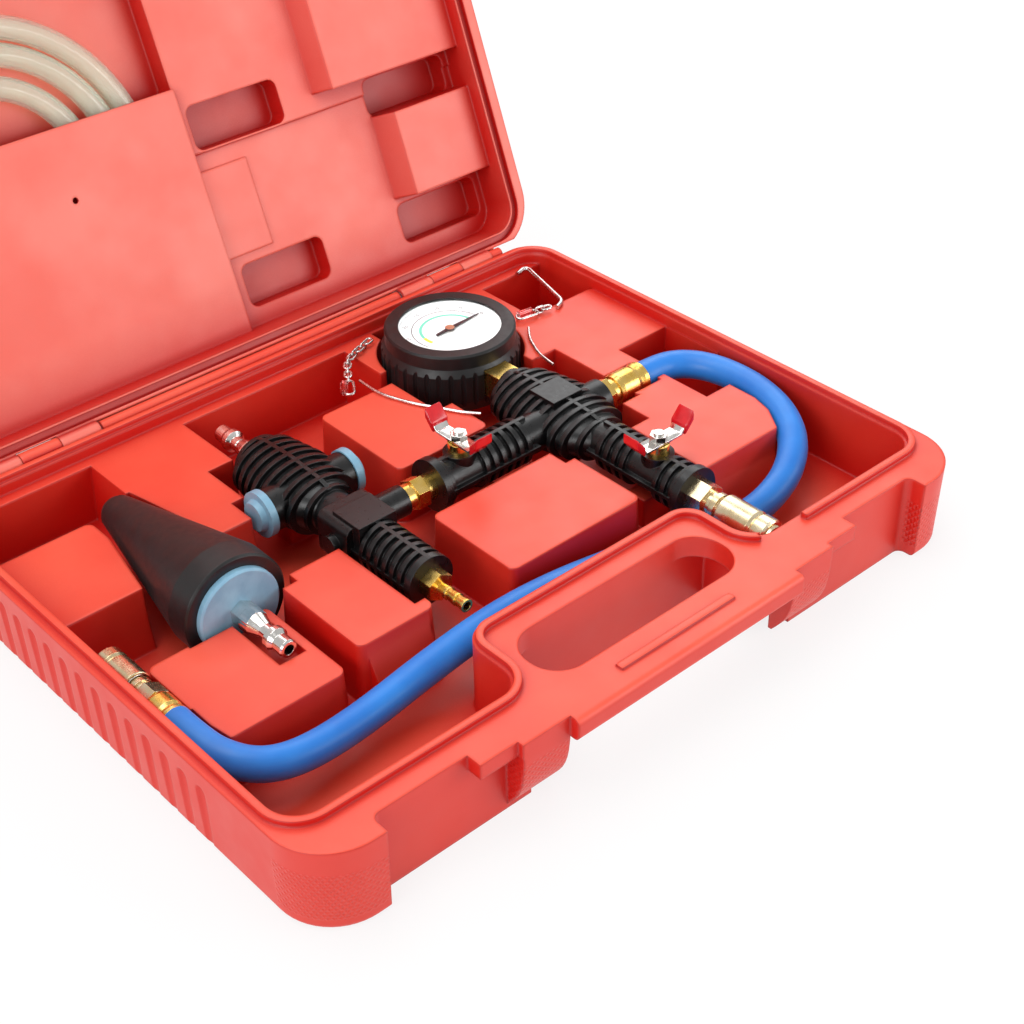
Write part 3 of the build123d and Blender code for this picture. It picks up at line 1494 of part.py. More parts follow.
def clip_sleeves():
    reach = min(sleeve_tube_length, clip_length - clip_width) / 2
    tube = rod_x(-reach, reach, clip_bow(), 0, sleeve_tube_radius)
    tube -= rod_x(-reach, reach, clip_bow(), 0, clip_wire_radius + running_fit)
    return [place * tube for place in clip_places()]


# Clear hose, wound as a flat spiral of half turns behind the lid's plate

coil_x_share = 0.268
coil_v_share = 0.386
coil_inner_slack = 2.0
coil_depth = lid_pocket_floor - clear_radius - seat_gap


def coil_edges():
    x, y = case_width * coil_x_share, lid_y(hinge_y * coil_v_share)
    radii = [coil_first_radius + coil_pitch / 2 * i for i in range(coil_half_turns)]
    radii[0] -= coil_inner_slack
    end = clear_radius * 2
    side = x + radii[0]
    edges = [Line((side, y + end, coil_depth), (side, y, coil_depth))]
    centre = x
    for i, radius in enumerate(radii):
        start = 0 if i % 2 == 0 else half_turn
        if i:
            step = radius - radii[i - 1]
            centre += step if i % 2 else -step
        edges.append(CenterArc((centre, y, coil_depth), radius, start, -half_turn))
    side = centre + radii[-1]
    edges.append(Line((side, y, coil_depth), (side, y - end, coil_depth)))
    return edges


def least_coil_gap(path):
    # Least clearance between turns, on points along the path that are far apart on it
    step = clear_radius
    count = int(path.length / step)
    points = [path.position_at(i / count) for i in range(count + 1)]
    apart = int(clear_radius * 6 / step)
    least = min((a - b).length for i, a in enumerate(points) for b in points[i + apart:])
    return least - clear_radius * 2


def clear_hose():
    path = Wire(coil_edges())
    print("coil length", round(path.length), "least gap", round(least_coil_gap(path), 2))
    tube = sweep(Plane(origin=path @ 0, z_dir=path % 0) * Circle(clear_radius), path=path)
    return tube


# Every piece in its own file

on_lid = to_base * Pos(0, hinge_y, 0) * Rot(X=-lid_angle) * Pos(0, -hinge_y, 0)
save("case_base", case_base() - clear_of_knuckles(lid_knuckle_spans()))
save("case_lid", case_lid(), on_lid)
save("hinge_pins", hinge_pins())
save("left_latch", latch(), on_lid)
save("right_latch", mirror(latch(), Plane.YZ.offset(middle_x)), on_lid)
save("latch_pins", latch_pins(), on_lid)
save("manifold_body", manifold_body())
for name, arm_place, ball_place in (("left", place_left_arm(), ball_setback),
                                    ("front", place_front_arm(), front_ball_setback)):
    save(f"{name}_arm_collar", arm_place * arm_collar(ball_place))
    save(f"{name}_valve_seats", Compound(children=[arm_place * s for s in valve_seats(ball_place)]))
    save(f"{name}_valve_ball", arm_place * valve_ball(ball_place))
    save(f"{name}_valve_stem", arm_place * valve_stem(ball_place))
    save(f"{name}_stem_gland", arm_place * stem_gland(ball_place))
    save(f"{name}_valve_handle", arm_place * valve_handle(ball_place))
    save(f"{name}_handle_grips", Compound(children=[arm_place * s for s in valve_grips(ball_place)]))
    save(f"{name}_valve_nut", arm_place * valve_nut(ball_place))
save("union_fitting", union_fitting())
save("venturi_body", venturi_body())
save("venturi_nozzle", venturi_nozzle())
save("exhaust_silencers", Compound(children=silencers()))
save("tail_barb_fitting", tail_fitting())
save("venturi_air_nipple", along_y(venturi_x, pump_back, axis_z) * air_nipple(nipple_thread_length))
save("cone_rubber", cone_rubber())
save("cone_washer", cone_washer())
save("cone_nipple", cone_nipple())
save("gauge_boot", gauge_boot())
save("gauge_can", gauge_can())
save("gauge_dial", gauge_dial())
save("gauge_spacer_ring", gauge_spacer())
save("gauge_lens", gauge_lens())
save("gauge_needle", gauge_needle())
save("gauge_movement", gauge_movement())
save("bourdon_tube", bourdon_tube())
save("gauge_stem", gauge_stem())
save("front_coupler_body", front_coupler_place() * coupler_body(thread_depth - seat_gap))
save("front_coupler_sleeve", front_coupler_place() * coupler_sleeve())
save("front_coupler_spring", front_coupler_place() * coupler_spring(1))
save("hose_coupler_body", left_coupler_place() * scale(coupler_body(0), by=hose_coupler_share))
save("hose_coupler_sleeve", left_coupler_place() * scale(coupler_sleeve(), by=hose_coupler_share))
save("hose_coupler_spring", left_coupler_place() * coupler_spring(hose_coupler_share))
save("hose_swivel", hose_swivel())
save("hose_ferrules", Compound(children=hose_ferrules()))
save("blue_hose", blue_hose())
save("hanger_hook", bent_wire(on_deck(hook_shares, hook_z), hook_wire_radius))
save("hanger_wires", Compound(children=[bent_wire(on_deck(right_wire_shares, wire_z), wire_radius),
                                        bent_wire(on_deck(left_wire_shares, wire_z), wire_radius)]))
save("hanger_chains", Compound(children=chain(left_chain_shares) + chain(right_chain_shares)))
save("hanger_clips", Compound(children=clip_frames()))
save("clip_sleeves", Compound(children=clip_sleeves()))
save("clear_hose", clear_hose(), on_lid)
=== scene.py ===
import json
from math import cos, pi, radians, sin

import bmesh
import bpy
from mathutils import Matrix, Vector


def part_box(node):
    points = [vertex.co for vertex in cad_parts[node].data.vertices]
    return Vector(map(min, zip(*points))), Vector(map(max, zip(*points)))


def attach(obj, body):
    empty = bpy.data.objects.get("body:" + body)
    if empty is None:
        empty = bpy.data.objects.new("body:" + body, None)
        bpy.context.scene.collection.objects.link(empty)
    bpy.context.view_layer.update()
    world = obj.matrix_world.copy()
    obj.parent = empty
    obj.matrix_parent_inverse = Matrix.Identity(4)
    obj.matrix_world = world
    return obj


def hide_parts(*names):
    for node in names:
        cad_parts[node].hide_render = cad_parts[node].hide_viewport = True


# Coolant vacuum filler in its open moulded case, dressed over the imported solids.
# Metres, in the part's frame: the origin is the middle of the case's underside, +X runs
# to the right along the front, +Y towards the hinge, +Z up.

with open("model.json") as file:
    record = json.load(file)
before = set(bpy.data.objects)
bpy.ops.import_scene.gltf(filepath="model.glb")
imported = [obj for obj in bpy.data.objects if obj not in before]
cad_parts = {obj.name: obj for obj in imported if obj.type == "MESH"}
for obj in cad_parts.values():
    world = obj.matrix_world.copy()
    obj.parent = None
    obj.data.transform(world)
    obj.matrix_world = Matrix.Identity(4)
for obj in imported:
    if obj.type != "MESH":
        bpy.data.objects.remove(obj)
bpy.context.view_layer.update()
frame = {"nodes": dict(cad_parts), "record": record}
MM = 0.001


# Where things are, from the case's own corner to the part's frame

CASE_HALF_WIDTH = 200 * MM
CASE_HALF_DEPTH = 158.5 * MM
BASE_HEIGHT = 43.8 * MM
HINGE_FROM_FRONT = 317
LID_ANGLE = radians(111.7)


def from_case(x, y, z):
    """A point in millimetres from the case's left wall, front bumpers and rim, in the frame."""
    return Vector((x * MM - CASE_HALF_WIDTH, y * MM - CASE_HALF_DEPTH, z * MM + BASE_HEIGHT))


def from_lid(x, y, z):
    """The same for a point of the lid, given where it is when the lid is shut."""
    swing = Matrix.Rotation(-LID_ANGLE, 3, "X")
    hinge = Vector((0, HINGE_FROM_FRONT * MM, 0))
    point = swing @ (Vector((x, y, z)) * MM - hinge) + hinge
    return point + Vector((-CASE_HALF_WIDTH, -CASE_HALF_DEPTH, BASE_HEIGHT))


# Camera at the photograph's place, looking down on the case from its front left

CAMERA_PLACE = Vector((-0.44041, -0.54629, 0.53948))
CAMERA_AZIMUTH = radians(41.36)
CAMERA_ELEVATION = radians(36.23)
CAMERA_ROLL = radians(-1.133)
CAMERA_LENS = 62.49
CAMERA_NEAR = 0.01


def placed(name, data):
    """An object with this data, in the scene and at its origin."""
    made = bpy.data.objects.new(name, data)
    bpy.context.scene.collection.objects.link(made)
    return made


def place_camera():
    forward = Vector((sin(CAMERA_AZIMUTH) * cos(CAMERA_ELEVATION),
                      cos(CAMERA_AZIMUTH) * cos(CAMERA_ELEVATION), -sin(CAMERA_ELEVATION)))
    level = forward.cross(Vector((0, 0, 1))).normalized()
    upright = level.cross(forward)
    right = level * cos(CAMERA_ROLL) + upright * sin(CAMERA_ROLL)
    up = upright * cos(CAMERA_ROLL) - level * sin(CAMERA_ROLL)
    turn = Matrix((right, up, -forward)).transposed().to_4x4()
    data = bpy.data.cameras.new("camera")
    data.lens = CAMERA_LENS
    data.clip_start = CAMERA_NEAR
    camera = placed("camera", data)
    camera.matrix_world = Matrix.Translation(CAMERA_PLACE) @ turn
    bpy.context.scene.camera = camera


# Nodes of a material: one function adds any of them

def linear(hex_colour):
    """An sRGB hex colour as linear red, green, blue and alpha."""
    parts = [int(hex_colour[i:i + 2], 16) / 255 for i in (1, 3, 5)]
    return [p / 12.92 if p <= 0.04045 else ((p + 0.055) / 1.055) ** 2.4 for p in parts] + [1.0]


def add(tree, kind, inputs=None, **settings):
    """A node with its settings, its input values and the sockets linked into it."""
    made = tree.nodes.new(kind)
    for name, value in settings.items():
        setattr(made, name, value)
    for name, value in (inputs or {}).items():
        socket = made.inputs[name]
        if isinstance(value, bpy.types.NodeSocket):
            tree.links.new(value, socket)
        else:
            socket.default_value = value
    return made


def per(size_mm):
    """The scale that gives a pattern features of this size."""
    return 1000 / size_mm


def begin(name):
    """An empty material, its tree and the object coordinates."""
    made = bpy.data.materials.new(name)
    made.use_nodes = True
    tree = made.node_tree
    tree.nodes.clear()
    return made, tree, add(tree, "ShaderNodeTexCoord").outputs["Object"]


def close(tree, shader):
    add(tree, "ShaderNodeOutputMaterial", {"Surface": shader})


def arithmetic(tree, operation, *values):
    return add(tree, "ShaderNodeMath", dict(enumerate(values)), operation=operation).outputs[0]


def ramp(tree, value, low, high, first=0.0, last=1.0):
    """The value carried from one range to another, and held at its ends."""
    return add(tree, "ShaderNodeMapRange", {0: value, 1: low, 2: high, 3: first, 4: last}).outputs[0]


def noise(tree, where, size_mm, detail=3.0):
    """A cloudy pattern with features of this size."""
    inputs = {"Vector": where, "Scale": per(size_mm), "Detail": detail}
    return add(tree, "ShaderNodeTexNoise", inputs).outputs["Fac"]


def blended(tree, share, first, second):
    """One colour turning into the other as the share goes from zero to one."""
    return add(tree, "ShaderNodeMix", {0: share, 6: first, 7: second}, data_type="RGBA").outputs[2]


def rounded_edges(tree, radius_mm, samples=6):
    return add(tree, "ShaderNodeBevel", {"Radius": radius_mm * MM}, samples=samples).outputs[0]


def relief(tree, height, height_mm, strength, normal=None):
    """The surface's normal with this pattern raised on it."""
    inputs = {"Height": height, "Distance": height_mm * MM, "Strength": strength}
    if normal is not None:
        inputs["Normal"] = normal
    return add(tree, "ShaderNodeBump", inputs).outputs[0]


def grain(tree, where, size_mm, height_mm, strength, edge_mm=0.0):
    """Fine surface relief of that grain, over edges rounded for the eye."""
    edges = rounded_edges(tree, edge_mm) if edge_mm else None
    return relief(tree, noise(tree, where, size_mm), height_mm, strength, edges)


def cloud(tree, where, size_mm, first, second):
    """Two colours that drift into each other in patches of that size."""
    spread = ramp(tree, noise(tree, where, size_mm, 4.0), 0.35, 0.65)
    return blended(tree, spread, linear(first), linear(second))


def uneven(tree, where, size_mm, low, high):
    """Roughness that varies between two values in patches of that size."""
    return ramp(tree, noise(tree, where, size_mm), 0.3, 0.7, low, high)


def finished(made, tree, **inputs):
    """The material with a principled shader that has these inputs, named with _ for spaces."""
    named = {name.replace("_", " "): value for name, value in inputs.items()}
    close(tree, add(tree, "ShaderNodeBsdfPrincipled", named).outputs[0])
    return made


def box_mask(tree, where, low, high, soft_mm):
    """One inside a box of the frame and nothing outside it, with soft sides."""
    split = add(tree, "ShaderNodeSeparateXYZ", {0: where})
    inside = None
    for axis in range(3):
        for bound, ends in ((low[axis], (0.0, 1.0)), (high[axis], (1.0, 0.0))):
            if bound is None:
                continue
            step = ramp(tree, split.outputs[axis], bound - soft_mm * MM, bound + soft_mm * MM, *ends)
            inside = step if inside is None else arithmetic(tree, "MULTIPLY", inside, step)
    return inside


# Materials, each named for what the real piece is made of

DIAMOND_SIZE = 3.6
GRIP_LOW, GRIP_HIGH = 6 * MM, 31 * MM
GRIP_BACK = -129 * MM
LEG_AND_BUMPER_GRIPS = ((71 * MM, 95.5 * MM), (164 * MM, 210 * MM))
LEG_AND_BUMPER_SOFT = (0.5 * MM, 1 * MM)
# How far the painted shade reaches into the case's pockets, as an ambient occlusion distance
PAINTED_SHADE_REACH = 32 * MM


def diamond_grip(tree, where):
    """The diamond pattern's height on the fronts of the legs and bumpers, and nothing elsewhere."""
    split = add(tree, "ShaderNodeSeparateXYZ", {0: where})
    across = arithmetic(tree, "SUBTRACT", split.outputs[0], split.outputs[1])
    ridges = []
    for operation in ("ADD", "SUBTRACT"):
        slope = arithmetic(tree, operation, across, split.outputs[2])
        turns = arithmetic(tree, "MULTIPLY", slope, 2 * pi * per(DIAMOND_SIZE))
        ridges.append(arithmetic(tree, "SINE", turns))
    front = box_mask(tree, where, (None, None, GRIP_LOW), (None, GRIP_BACK, GRIP_HIGH), soft_mm=0.6)
    outer = arithmetic(tree, "ABSOLUTE", split.outputs[0])
    zones = []
    for (first, last), soft in zip(LEG_AND_BUMPER_GRIPS, LEG_AND_BUMPER_SOFT):
        zones.append(arithmetic(tree, "MULTIPLY", ramp(tree, outer, first - soft, first + soft),
                                ramp(tree, outer, last - soft, last + soft, 1.0, 0.0)))
    grip = arithmetic(tree, "MULTIPLY", front, arithmetic(tree, "MAXIMUM", *zones))
    return arithmetic(tree, "MULTIPLY", arithmetic(tree, "MAXIMUM", *ridges), grip)


def blow_moulded_polyethylene(name, first, second, deep, lit_side):
    # High-density polyethylene blown against a sand-blasted mould: a soft sheen over a
    # fine pebble, with a diamond grip moulded into the bumpers and legs. Its colour holds painted
    # light: paler on open faces turned to the lit side, a painted reflection of the bright room,
    # and a deep red painted shade on its walls and in its pockets, where ambient occlusion falls
    made, tree, where = begin(name)
    wavy = relief(tree, noise(tree, where, 26.0, 2.0), 0.5, 0.35, rounded_edges(tree, 2.2, samples=8))
    gripped = relief(tree, diamond_grip(tree, where), 0.25, 0.7, wavy)
    fine = relief(tree, noise(tree, where, 0.9, 2.0), 0.04, 0.5, gripped)
    # Painted shade: ambient occlusion turns pockets and the feet of walls towards the deep red
    painted_shade_occlusion = add(tree, "ShaderNodeAmbientOcclusion", {"Distance": PAINTED_SHADE_REACH}, samples=8, only_local=True)
    facing = add(tree, "ShaderNodeVectorMath",
                 {0: add(tree, "ShaderNodeTexCoord").outputs["Normal"], 1: lit_side},
                 operation="DOT_PRODUCT").outputs["Value"]
    # Painted light: the pale tones where the surface faces the lit side and is unoccluded, the deep red
    # painted shade elsewhere
    painted_light_share = arithmetic(tree, "MULTIPLY", ramp(tree, painted_shade_occlusion.outputs["AO"], 0.55, 0.97),
                       ramp(tree, facing, 0.1, 0.8, 0.32, 1.0))
    colour = blended(tree, painted_light_share, linear(deep), cloud(tree, where, 60.0, first, second))
    return finished(made, tree, Base_Color=colour, Roughness=uneven(tree, where, 18.0, 0.38, 0.47),
                    IOR=1.54, Normal=fine, Subsurface_Weight=0.06,
                    Subsurface_Radius=(0.004, 0.001, 0.0006), Subsurface_Scale=1.0)


def glass_filled_nylon():
    # Nylon with short glass fibre: near black and satin, with a faint grey bloom of fibre
    made, tree, where = begin("glass_filled_nylon_black")
    return finished(made, tree, Base_Color=cloud(tree, where, 5.0, "#080809", "#0f0f10"),
                    Roughness=uneven(tree, where, 2.5, 0.26, 0.38), IOR=1.53,
                    Normal=grain(tree, where, 0.5, 0.05, 0.6, edge_mm=0.5))


def moulded_rubber():
    # Synthetic rubber from a polished mould: deep black with a slight dusty bloom
    made, tree, where = begin("moulded_rubber_black")
    return finished(made, tree, Base_Color=cloud(tree, where, 9.0, "#0d0d0e", "#151516"),
                    Roughness=uneven(tree, where, 4.0, 0.36, 0.5), IOR=1.52,
                    Normal=grain(tree, where, 0.8, 0.04, 0.5, edge_mm=0.6),
                    Sheen_Weight=0.03, Sheen_Roughness=0.5)


def turned_brass(name, axis, first, second):
    # Free-cutting brass as it leaves the lathe: fine rings across the axis it turned on
    made, tree, where = begin(name)
    split = add(tree, "ShaderNodeSeparateXYZ", {0: where})
    rings = add(tree, "ShaderNodeTexNoise", {"W": split.outputs[axis], "Scale": per(0.22), "Detail": 2.0},
                noise_dimensions="1D").outputs["Fac"]
    return finished(made, tree, Base_Color=cloud(tree, where, 7.0, first, second), Metallic=1.0,
                    Roughness=uneven(tree, where, 3.0, 0.2, 0.3),
                    Normal=relief(tree, rings, 0.02, 0.35, rounded_edges(tree, 0.35)))


def nickel_chrome_plate():
    # Bright plating over stamped or turned steel, with faint polishing haze
    made, tree, where = begin("nickel_chrome_plate")
    return finished(made, tree, Base_Color=cloud(tree, where, 6.0, "#dedbd6", "#f1eeea"), Metallic=1.0,
                    Roughness=uneven(tree, where, 2.0, 0.1, 0.2),
                    Normal=grain(tree, where, 0.6, 0.01, 0.25, edge_mm=0.35))


def zinc_plated_wire():
    # Drawn steel wire with bright zinc: silvery, slightly streaked
    made, tree, where = begin("zinc_plated_steel_wire")
    return finished(made, tree, Base_Color=cloud(tree, where, 3.0, "#c9c8c6", "#f2f1ef"), Metallic=1.0,
                    Roughness=uneven(tree, where, 1.2, 0.16, 0.34),
                    Normal=grain(tree, where, 0.4, 0.02, 0.4))


def dipped_vinyl():
    # Soft vinyl dipped over the handle ends: glossy and even
    made, tree, where = begin("dipped_vinyl_red")
    return finished(made, tree, Base_Color=cloud(tree, where, 5.0, "#c8101c", "#d91a24"), Roughness=0.22,
                    IOR=1.53, Normal=grain(tree, where, 1.6, 0.05, 0.3, edge_mm=0.6),
                    Coat_Weight=0.3, Coat_Roughness=0.12)


def hose_cover_rubber():
    # Blue nitrile hose cover: faint lengthwise extrusion lines and a soft dusty sheen
    made, tree, where = begin("hose_cover_rubber_blue")
    laid = add(tree, "ShaderNodeUVMap", uv_map="along").outputs[0]
    lines = add(tree, "ShaderNodeMapping", {"Vector": laid, "Scale": (per(0.7), per(45.0), 1.0)})
    drawn = add(tree, "ShaderNodeTexNoise", {"Vector": lines.outputs[0], "Scale": 1.0, "Detail": 2.0},
                noise_dimensions="2D").outputs["Fac"]
    return finished(made, tree, Base_Color=cloud(tree, where, 22.0, "#1c78d6", "#2585e2"),
                    Roughness=uneven(tree, where, 6.0, 0.36, 0.48), IOR=1.52,
                    Normal=relief(tree, drawn, 0.05, 0.4), Sheen_Weight=0.12, Sheen_Roughness=0.4,
                    Sheen_Tint=linear("#9cc6ff"))


def moulded_abs():
    # ABS from a lightly etched mould: satin, even
    made, tree, where = begin("moulded_abs_pale_blue")
    return finished(made, tree, Base_Color=cloud(tree, where, 8.0, "#7eadc8", "#8dbbd3"),
                    Roughness=uneven(tree, where, 3.0, 0.34, 0.44), IOR=1.53,
                    Normal=grain(tree, where, 0.7, 0.03, 0.4, edge_mm=0.5))


def baked_enamel(name, first, second, rough):
    # Enamel printed and baked on thin sheet: flat and even with a fine orange peel
    made, tree, where = begin(name)
    return finished(made, tree, Base_Color=cloud(tree, where, 10.0, first, second), Roughness=rough,
                    IOR=1.5, Normal=grain(tree, where, 1.2, 0.01, 0.2))


def lacquered_needle():
    # Black lacquer on the pointer, with bare brass where the hub is staked on
    made, tree, where = begin("lacquered_steel_needle")
    centre = gauge_centre()
    away = add(tree, "ShaderNodeVectorMath", {0: where, 1: (centre.x, centre.y, 0)}, operation="SUBTRACT")
    flat = add(tree, "ShaderNodeVectorMath", {0: away.outputs[0], 1: (1, 1, 0)}, operation="MULTIPLY")
    reach = add(tree, "ShaderNodeVectorMath", {0: flat.outputs[0]}, operation="LENGTH").outputs["Value"]
    hub = ramp(tree, reach, 2.5 * MM, 2.6 * MM, 1.0, 0.0)
    return finished(made, tree, Base_Color=blended(tree, hub, linear("#26262a"), linear("#e2c3a0")),
                    Metallic=hub, Roughness=0.3, Normal=grain(tree, where, 0.5, 0.01, 0.3, edge_mm=0.2))


def clear_plastic(name, tint, rough, ior, shadow, milk=0.0):
    # Clear plastic: light passes on to what lies behind it, less the share that its haze scatters
    made, tree, where = begin(name)
    shader = add(tree, "ShaderNodeBsdfPrincipled",
                 {"Base Color": linear(tint), "Roughness": rough, "IOR": ior,
                  "Transmission Weight": 1.0 - milk, "Normal": grain(tree, where, 3.0, 0.02, 0.3)})
    passed = add(tree, "ShaderNodeBsdfTransparent", {"Color": linear(shadow)})
    path = add(tree, "ShaderNodeLightPath")
    mixed = add(tree, "ShaderNodeMixShader", {0: path.outputs["Is Shadow Ray"], 1: shader.outputs[0],
                                              2: passed.outputs[0]})
    close(tree, mixed.outputs[0])
    return made


def moulded_ptfe():
    # White fluoropolymer seats: waxy and smooth
    made, tree, where = begin("moulded_ptfe")
    return finished(made, tree, Base_Color=cloud(tree, where, 4.0, "#ecece6", "#f6f6f1"), Roughness=0.35,
                    IOR=1.36, Normal=grain(tree, where, 0.6, 0.02, 0.3))


# Shapes shared by several pieces

JOINING_DISTANCE = 0.002 * MM
SHARP_ANGLE, SHARP_ANGLE_OF_ROUNDS = 30, 40


def merged_copy(name, node):
    """A copy of a CAD node's mesh with its points joined, ready to be cut."""
    data = frame["nodes"][node].data.copy()
    data.name = name
    if "custom_normal" in data.attributes:
        data.attributes.remove(data.attributes["custom_normal"])
    shape = bmesh.new()
    shape.from_mesh(data)
    bmesh.ops.remove_doubles(shape, verts=shape.verts, dist=JOINING_DISTANCE)
    shape.to_mesh(data)
    shape.free()
    return placed(name, data)


def smooth_by_angle(data, angle=SHARP_ANGLE):
    data.polygons.foreach_set("use_smooth", [True] * len(data.polygons))
    data.set_sharp_from_angle(angle=radians(angle))
    data.update_tag()


def settled(made):
    """The piece with what its modifiers make as its own mesh."""
    evaluated = made.evaluated_get(bpy.context.evaluated_depsgraph_get())
    data = bpy.data.meshes.new_from_object(evaluated)
    made.modifiers.clear()
    made.data = data
    return made


def flat_faces_stay_flat(made):
    """Gives the shared edge of a flat face and a round one the flat face's normal."""
    modifier = made.modifiers.new("normals", "WEIGHTED_NORMAL")
    modifier.mode, modifier.weight, modifier.keep_sharp = "FACE_AREA", 100, True
    settled(made)


def rounded(made, radius_mm, segments):
    """The same piece with all its sharp edges rounded."""
    modifier = made.modifiers.new("round", "BEVEL")
    modifier.width, modifier.segments, modifier.limit_method = radius_mm * MM, segments, "ANGLE"
    smooth_by_angle(settled(made).data, SHARP_ANGLE_OF_ROUNDS)


def shaped(target, tool, operation):
    """The target after it is cut by the tool or joined with it; the tool is used up."""
    modifier = target.modifiers.new("shape", "BOOLEAN")
    modifier.operation, modifier.solver, modifier.object = operation, "EXACT", tool
    settled(target)
    bpy.data.objects.remove(tool)


def dressed(made, finish, body, node=None):
    """Gives a piece its material and body, and hides the CAD node that it shows in place of."""
    made.data.materials.clear()
    made.data.materials.append(finish)
    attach(made, body)
    if node:
        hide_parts(node)
    return made


def prisms(name, shapes):
    """One mesh of prisms, each an outline of points and the vector that it is pushed along."""
    shape = bmesh.new()
    for outline, push in shapes:
        face = shape.faces.new([shape.verts.new(p) for p in outline])
        grown = bmesh.ops.extrude_face_region(shape, geom=[face])["geom"]
        bmesh.ops.translate(shape, verts=[v for v in grown if isinstance(v, bmesh.types.BMVert)], vec=push)
    bmesh.ops.recalc_face_normals(shape, faces=shape.faces)
    data = bpy.data.meshes.new(name)
    shape.to_mesh(data)
    shape.free()
    return placed(name, data)


def block_outline(low, high):
    """The underside of a block in case coordinates, and the way up to its top."""
    (x0, y0, z0), (x1, y1, z1) = low, high
    corners = [(x0, y0), (x1, y0), (x1, y1), (x0, y1)]
    return [from_case(x, y, z0) for x, y in corners], Vector((0, 0, (z1 - z0) * MM))


def both_sides(outline, push):
    """The same prism and its mirror image across the case's middle."""
    turned = [Vector((-p.x, p.y, p.z)) for p in outline]
    return [(outline, push), (turned, Vector((-push.x, push.y, push.z)))]


def mesh_piece(name, points, faces, body, material):
    data = bpy.data.meshes.new(name)
    data.from_pydata([tuple(p) for p in points], [], faces)
    data.update()
    return dressed(placed(name, data), material, body)


def smooth_line(points):
    """The points along a smooth line with these control points, closer together."""
    data = bpy.data.curves.new("route", "CURVE")
    data.dimensions = "3D"
    data.resolution_u = 8
    spline = data.splines.new("NURBS")
    spline.points.add(len(points) - 1)
    for place, point in zip(spline.points, points):
        place.co = (*point, 1.0)
    spline.order_u = 3
    spline.use_endpoint_u = True
    curve = placed("route", data)
    sampled = bpy.data.meshes.new_from_object(curve.evaluated_get(bpy.context.evaluated_depsgraph_get()))
    line = [v.co.copy() for v in sampled.vertices]
    bpy.data.objects.remove(curve)
    bpy.data.curves.remove(data)
    bpy.data.meshes.remove(sampled)
    return line


HOSE_SIDES = 28


def rings_along(line, radius):
    """Rings of points round a line, turned with it and not twisting."""
    tangent = (line[1] - line[0]).normalized()
    side = tangent.orthogonal().normalized()
    rings = []
    for i, point in enumerate(line):
        ahead = line[min(i + 1, len(line) - 1)] - line[max(i - 1, 0)]
        ahead.normalize()
        side = (side - ahead * side.dot(ahead)).normalized()
        other = ahead.cross(side)
        rings.append([point + side * radius * cos(2 * pi * k / HOSE_SIDES)
                      + other * radius * sin(2 * pi * k / HOSE_SIDES) for k in range(HOSE_SIDES)])
    return rings


def hose_piece(name, line, radius, bore, body, material):
    """A hose wall along a line, with its bore and its two ends, and UVs in metres along it."""
    points = [p for ring in rings_along(line, radius) + rings_along(line, bore) for p in ring]
    count, sides = len(line), HOSE_SIDES
    faces, spans = [], []
    distance = [0.0]
    for a, b in zip(line, line[1:]):
        distance.append(distance[-1] + (b - a).length)
    for wall in range(2):
        base = wall * count * sides
        girth = 2 * pi * (bore if wall else radius)
        for i in range(count - 1):
            for k in range(sides):
                a, b = base + i * sides + k, base + i * sides + (k + 1) % sides
                quad = (a, b, b + sides, a + sides)
                u0, u1 = girth * k / sides, girth * (k + 1) / sides
                uv = [(u0, distance[i]), (u1, distance[i]), (u1, distance[i + 1]), (u0, distance[i + 1])]
                faces.append(quad[::-1] if wall else quad)
                spans.append(uv[::-1] if wall else uv)
    for end in (0, count - 1):
        for k in range(sides):
            a, b = end * sides + k, end * sides + (k + 1) % sides
            quad = (a, b, b + count * sides, a + count * sides)
            faces.append(quad[::-1] if end == 0 else quad)
            spans.append([(0.0, 0.0)] * 4)
    made = mesh_piece(name, points, faces, body, material)
    layer = made.data.uv_layers.new(name="along")
    for face, span in zip(made.data.polygons, spans):
        for loop, uv in zip(face.loop_indices, span):
            layer.data[loop].uv = uv
    smooth_by_angle(made.data, SHARP_ANGLE_OF_ROUNDS)
    return made


# Moulded base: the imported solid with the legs, open floor and low step that the photograph shows

LEG_LEFT, LEG_RIGHT = 104.5, 130.0
LEG_FRONT, LEG_BACK = -0.7, 12.5
LEG_FACE_BOTTOM, LEG_FOOT = -12.0, -41.3
LEG_BELLY = 4.4
BELLY_FORWARD_SHARE, BELLY_DOWN_SHARE = 0.6, 0.4
LEG_STEPS = 8
FRONT_FACE = 10.5

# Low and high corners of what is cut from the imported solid, in case coordinates
LEG_FRONT_CUT = ((83, -8, -46), (LEG_RIGHT, LEG_FRONT, 1))
LEG_UNDER_CUT = ((83, -9, -46), (LEG_RIGHT, FRONT_FACE, -8.05))
LOW_STEP_CUT = ((24, 92, -12), (90, 156.5, -5))


def leg_outline():
    """Side view of a leg: a flat face over a belly that curves back to the foot."""
    points = [from_case(LEG_LEFT, LEG_BACK, LEG_FOOT), from_case(LEG_LEFT, LEG_BACK, 0),
              from_case(LEG_LEFT, LEG_FRONT, 0)]
    for i in range(LEG_STEPS + 1):
        share = i / LEG_STEPS
        bow = LEG_BELLY * sin(pi * share)
        y = LEG_FRONT + (FRONT_FACE - LEG_FRONT) * share - bow * BELLY_FORWARD_SHARE
        z = LEG_FACE_BOTTOM + (LEG_FOOT - LEG_FACE_BOTTOM) * share - bow * BELLY_DOWN_SHARE
        points.append(from_case(LEG_LEFT, y, z))
    return points, Vector(((LEG_RIGHT - LEG_LEFT) * MM, 0, 0))


NEST_PLACE = (288.52, 261.0)
NEST_RADIUS = 40.45
NEST_STEPS = 32
ROOM_FLOOR, ROOM_HEIGHT = -37.97, 33

# Corners of the open floor on each side of the gauge, and the angles where its nest closes them
GAUGE_ROOMS = [([(313, 219), (243, 219), (243, 267.4)], 170.9, 307),
               ([(267, 304), (313, 304)], 53, 122.1)]


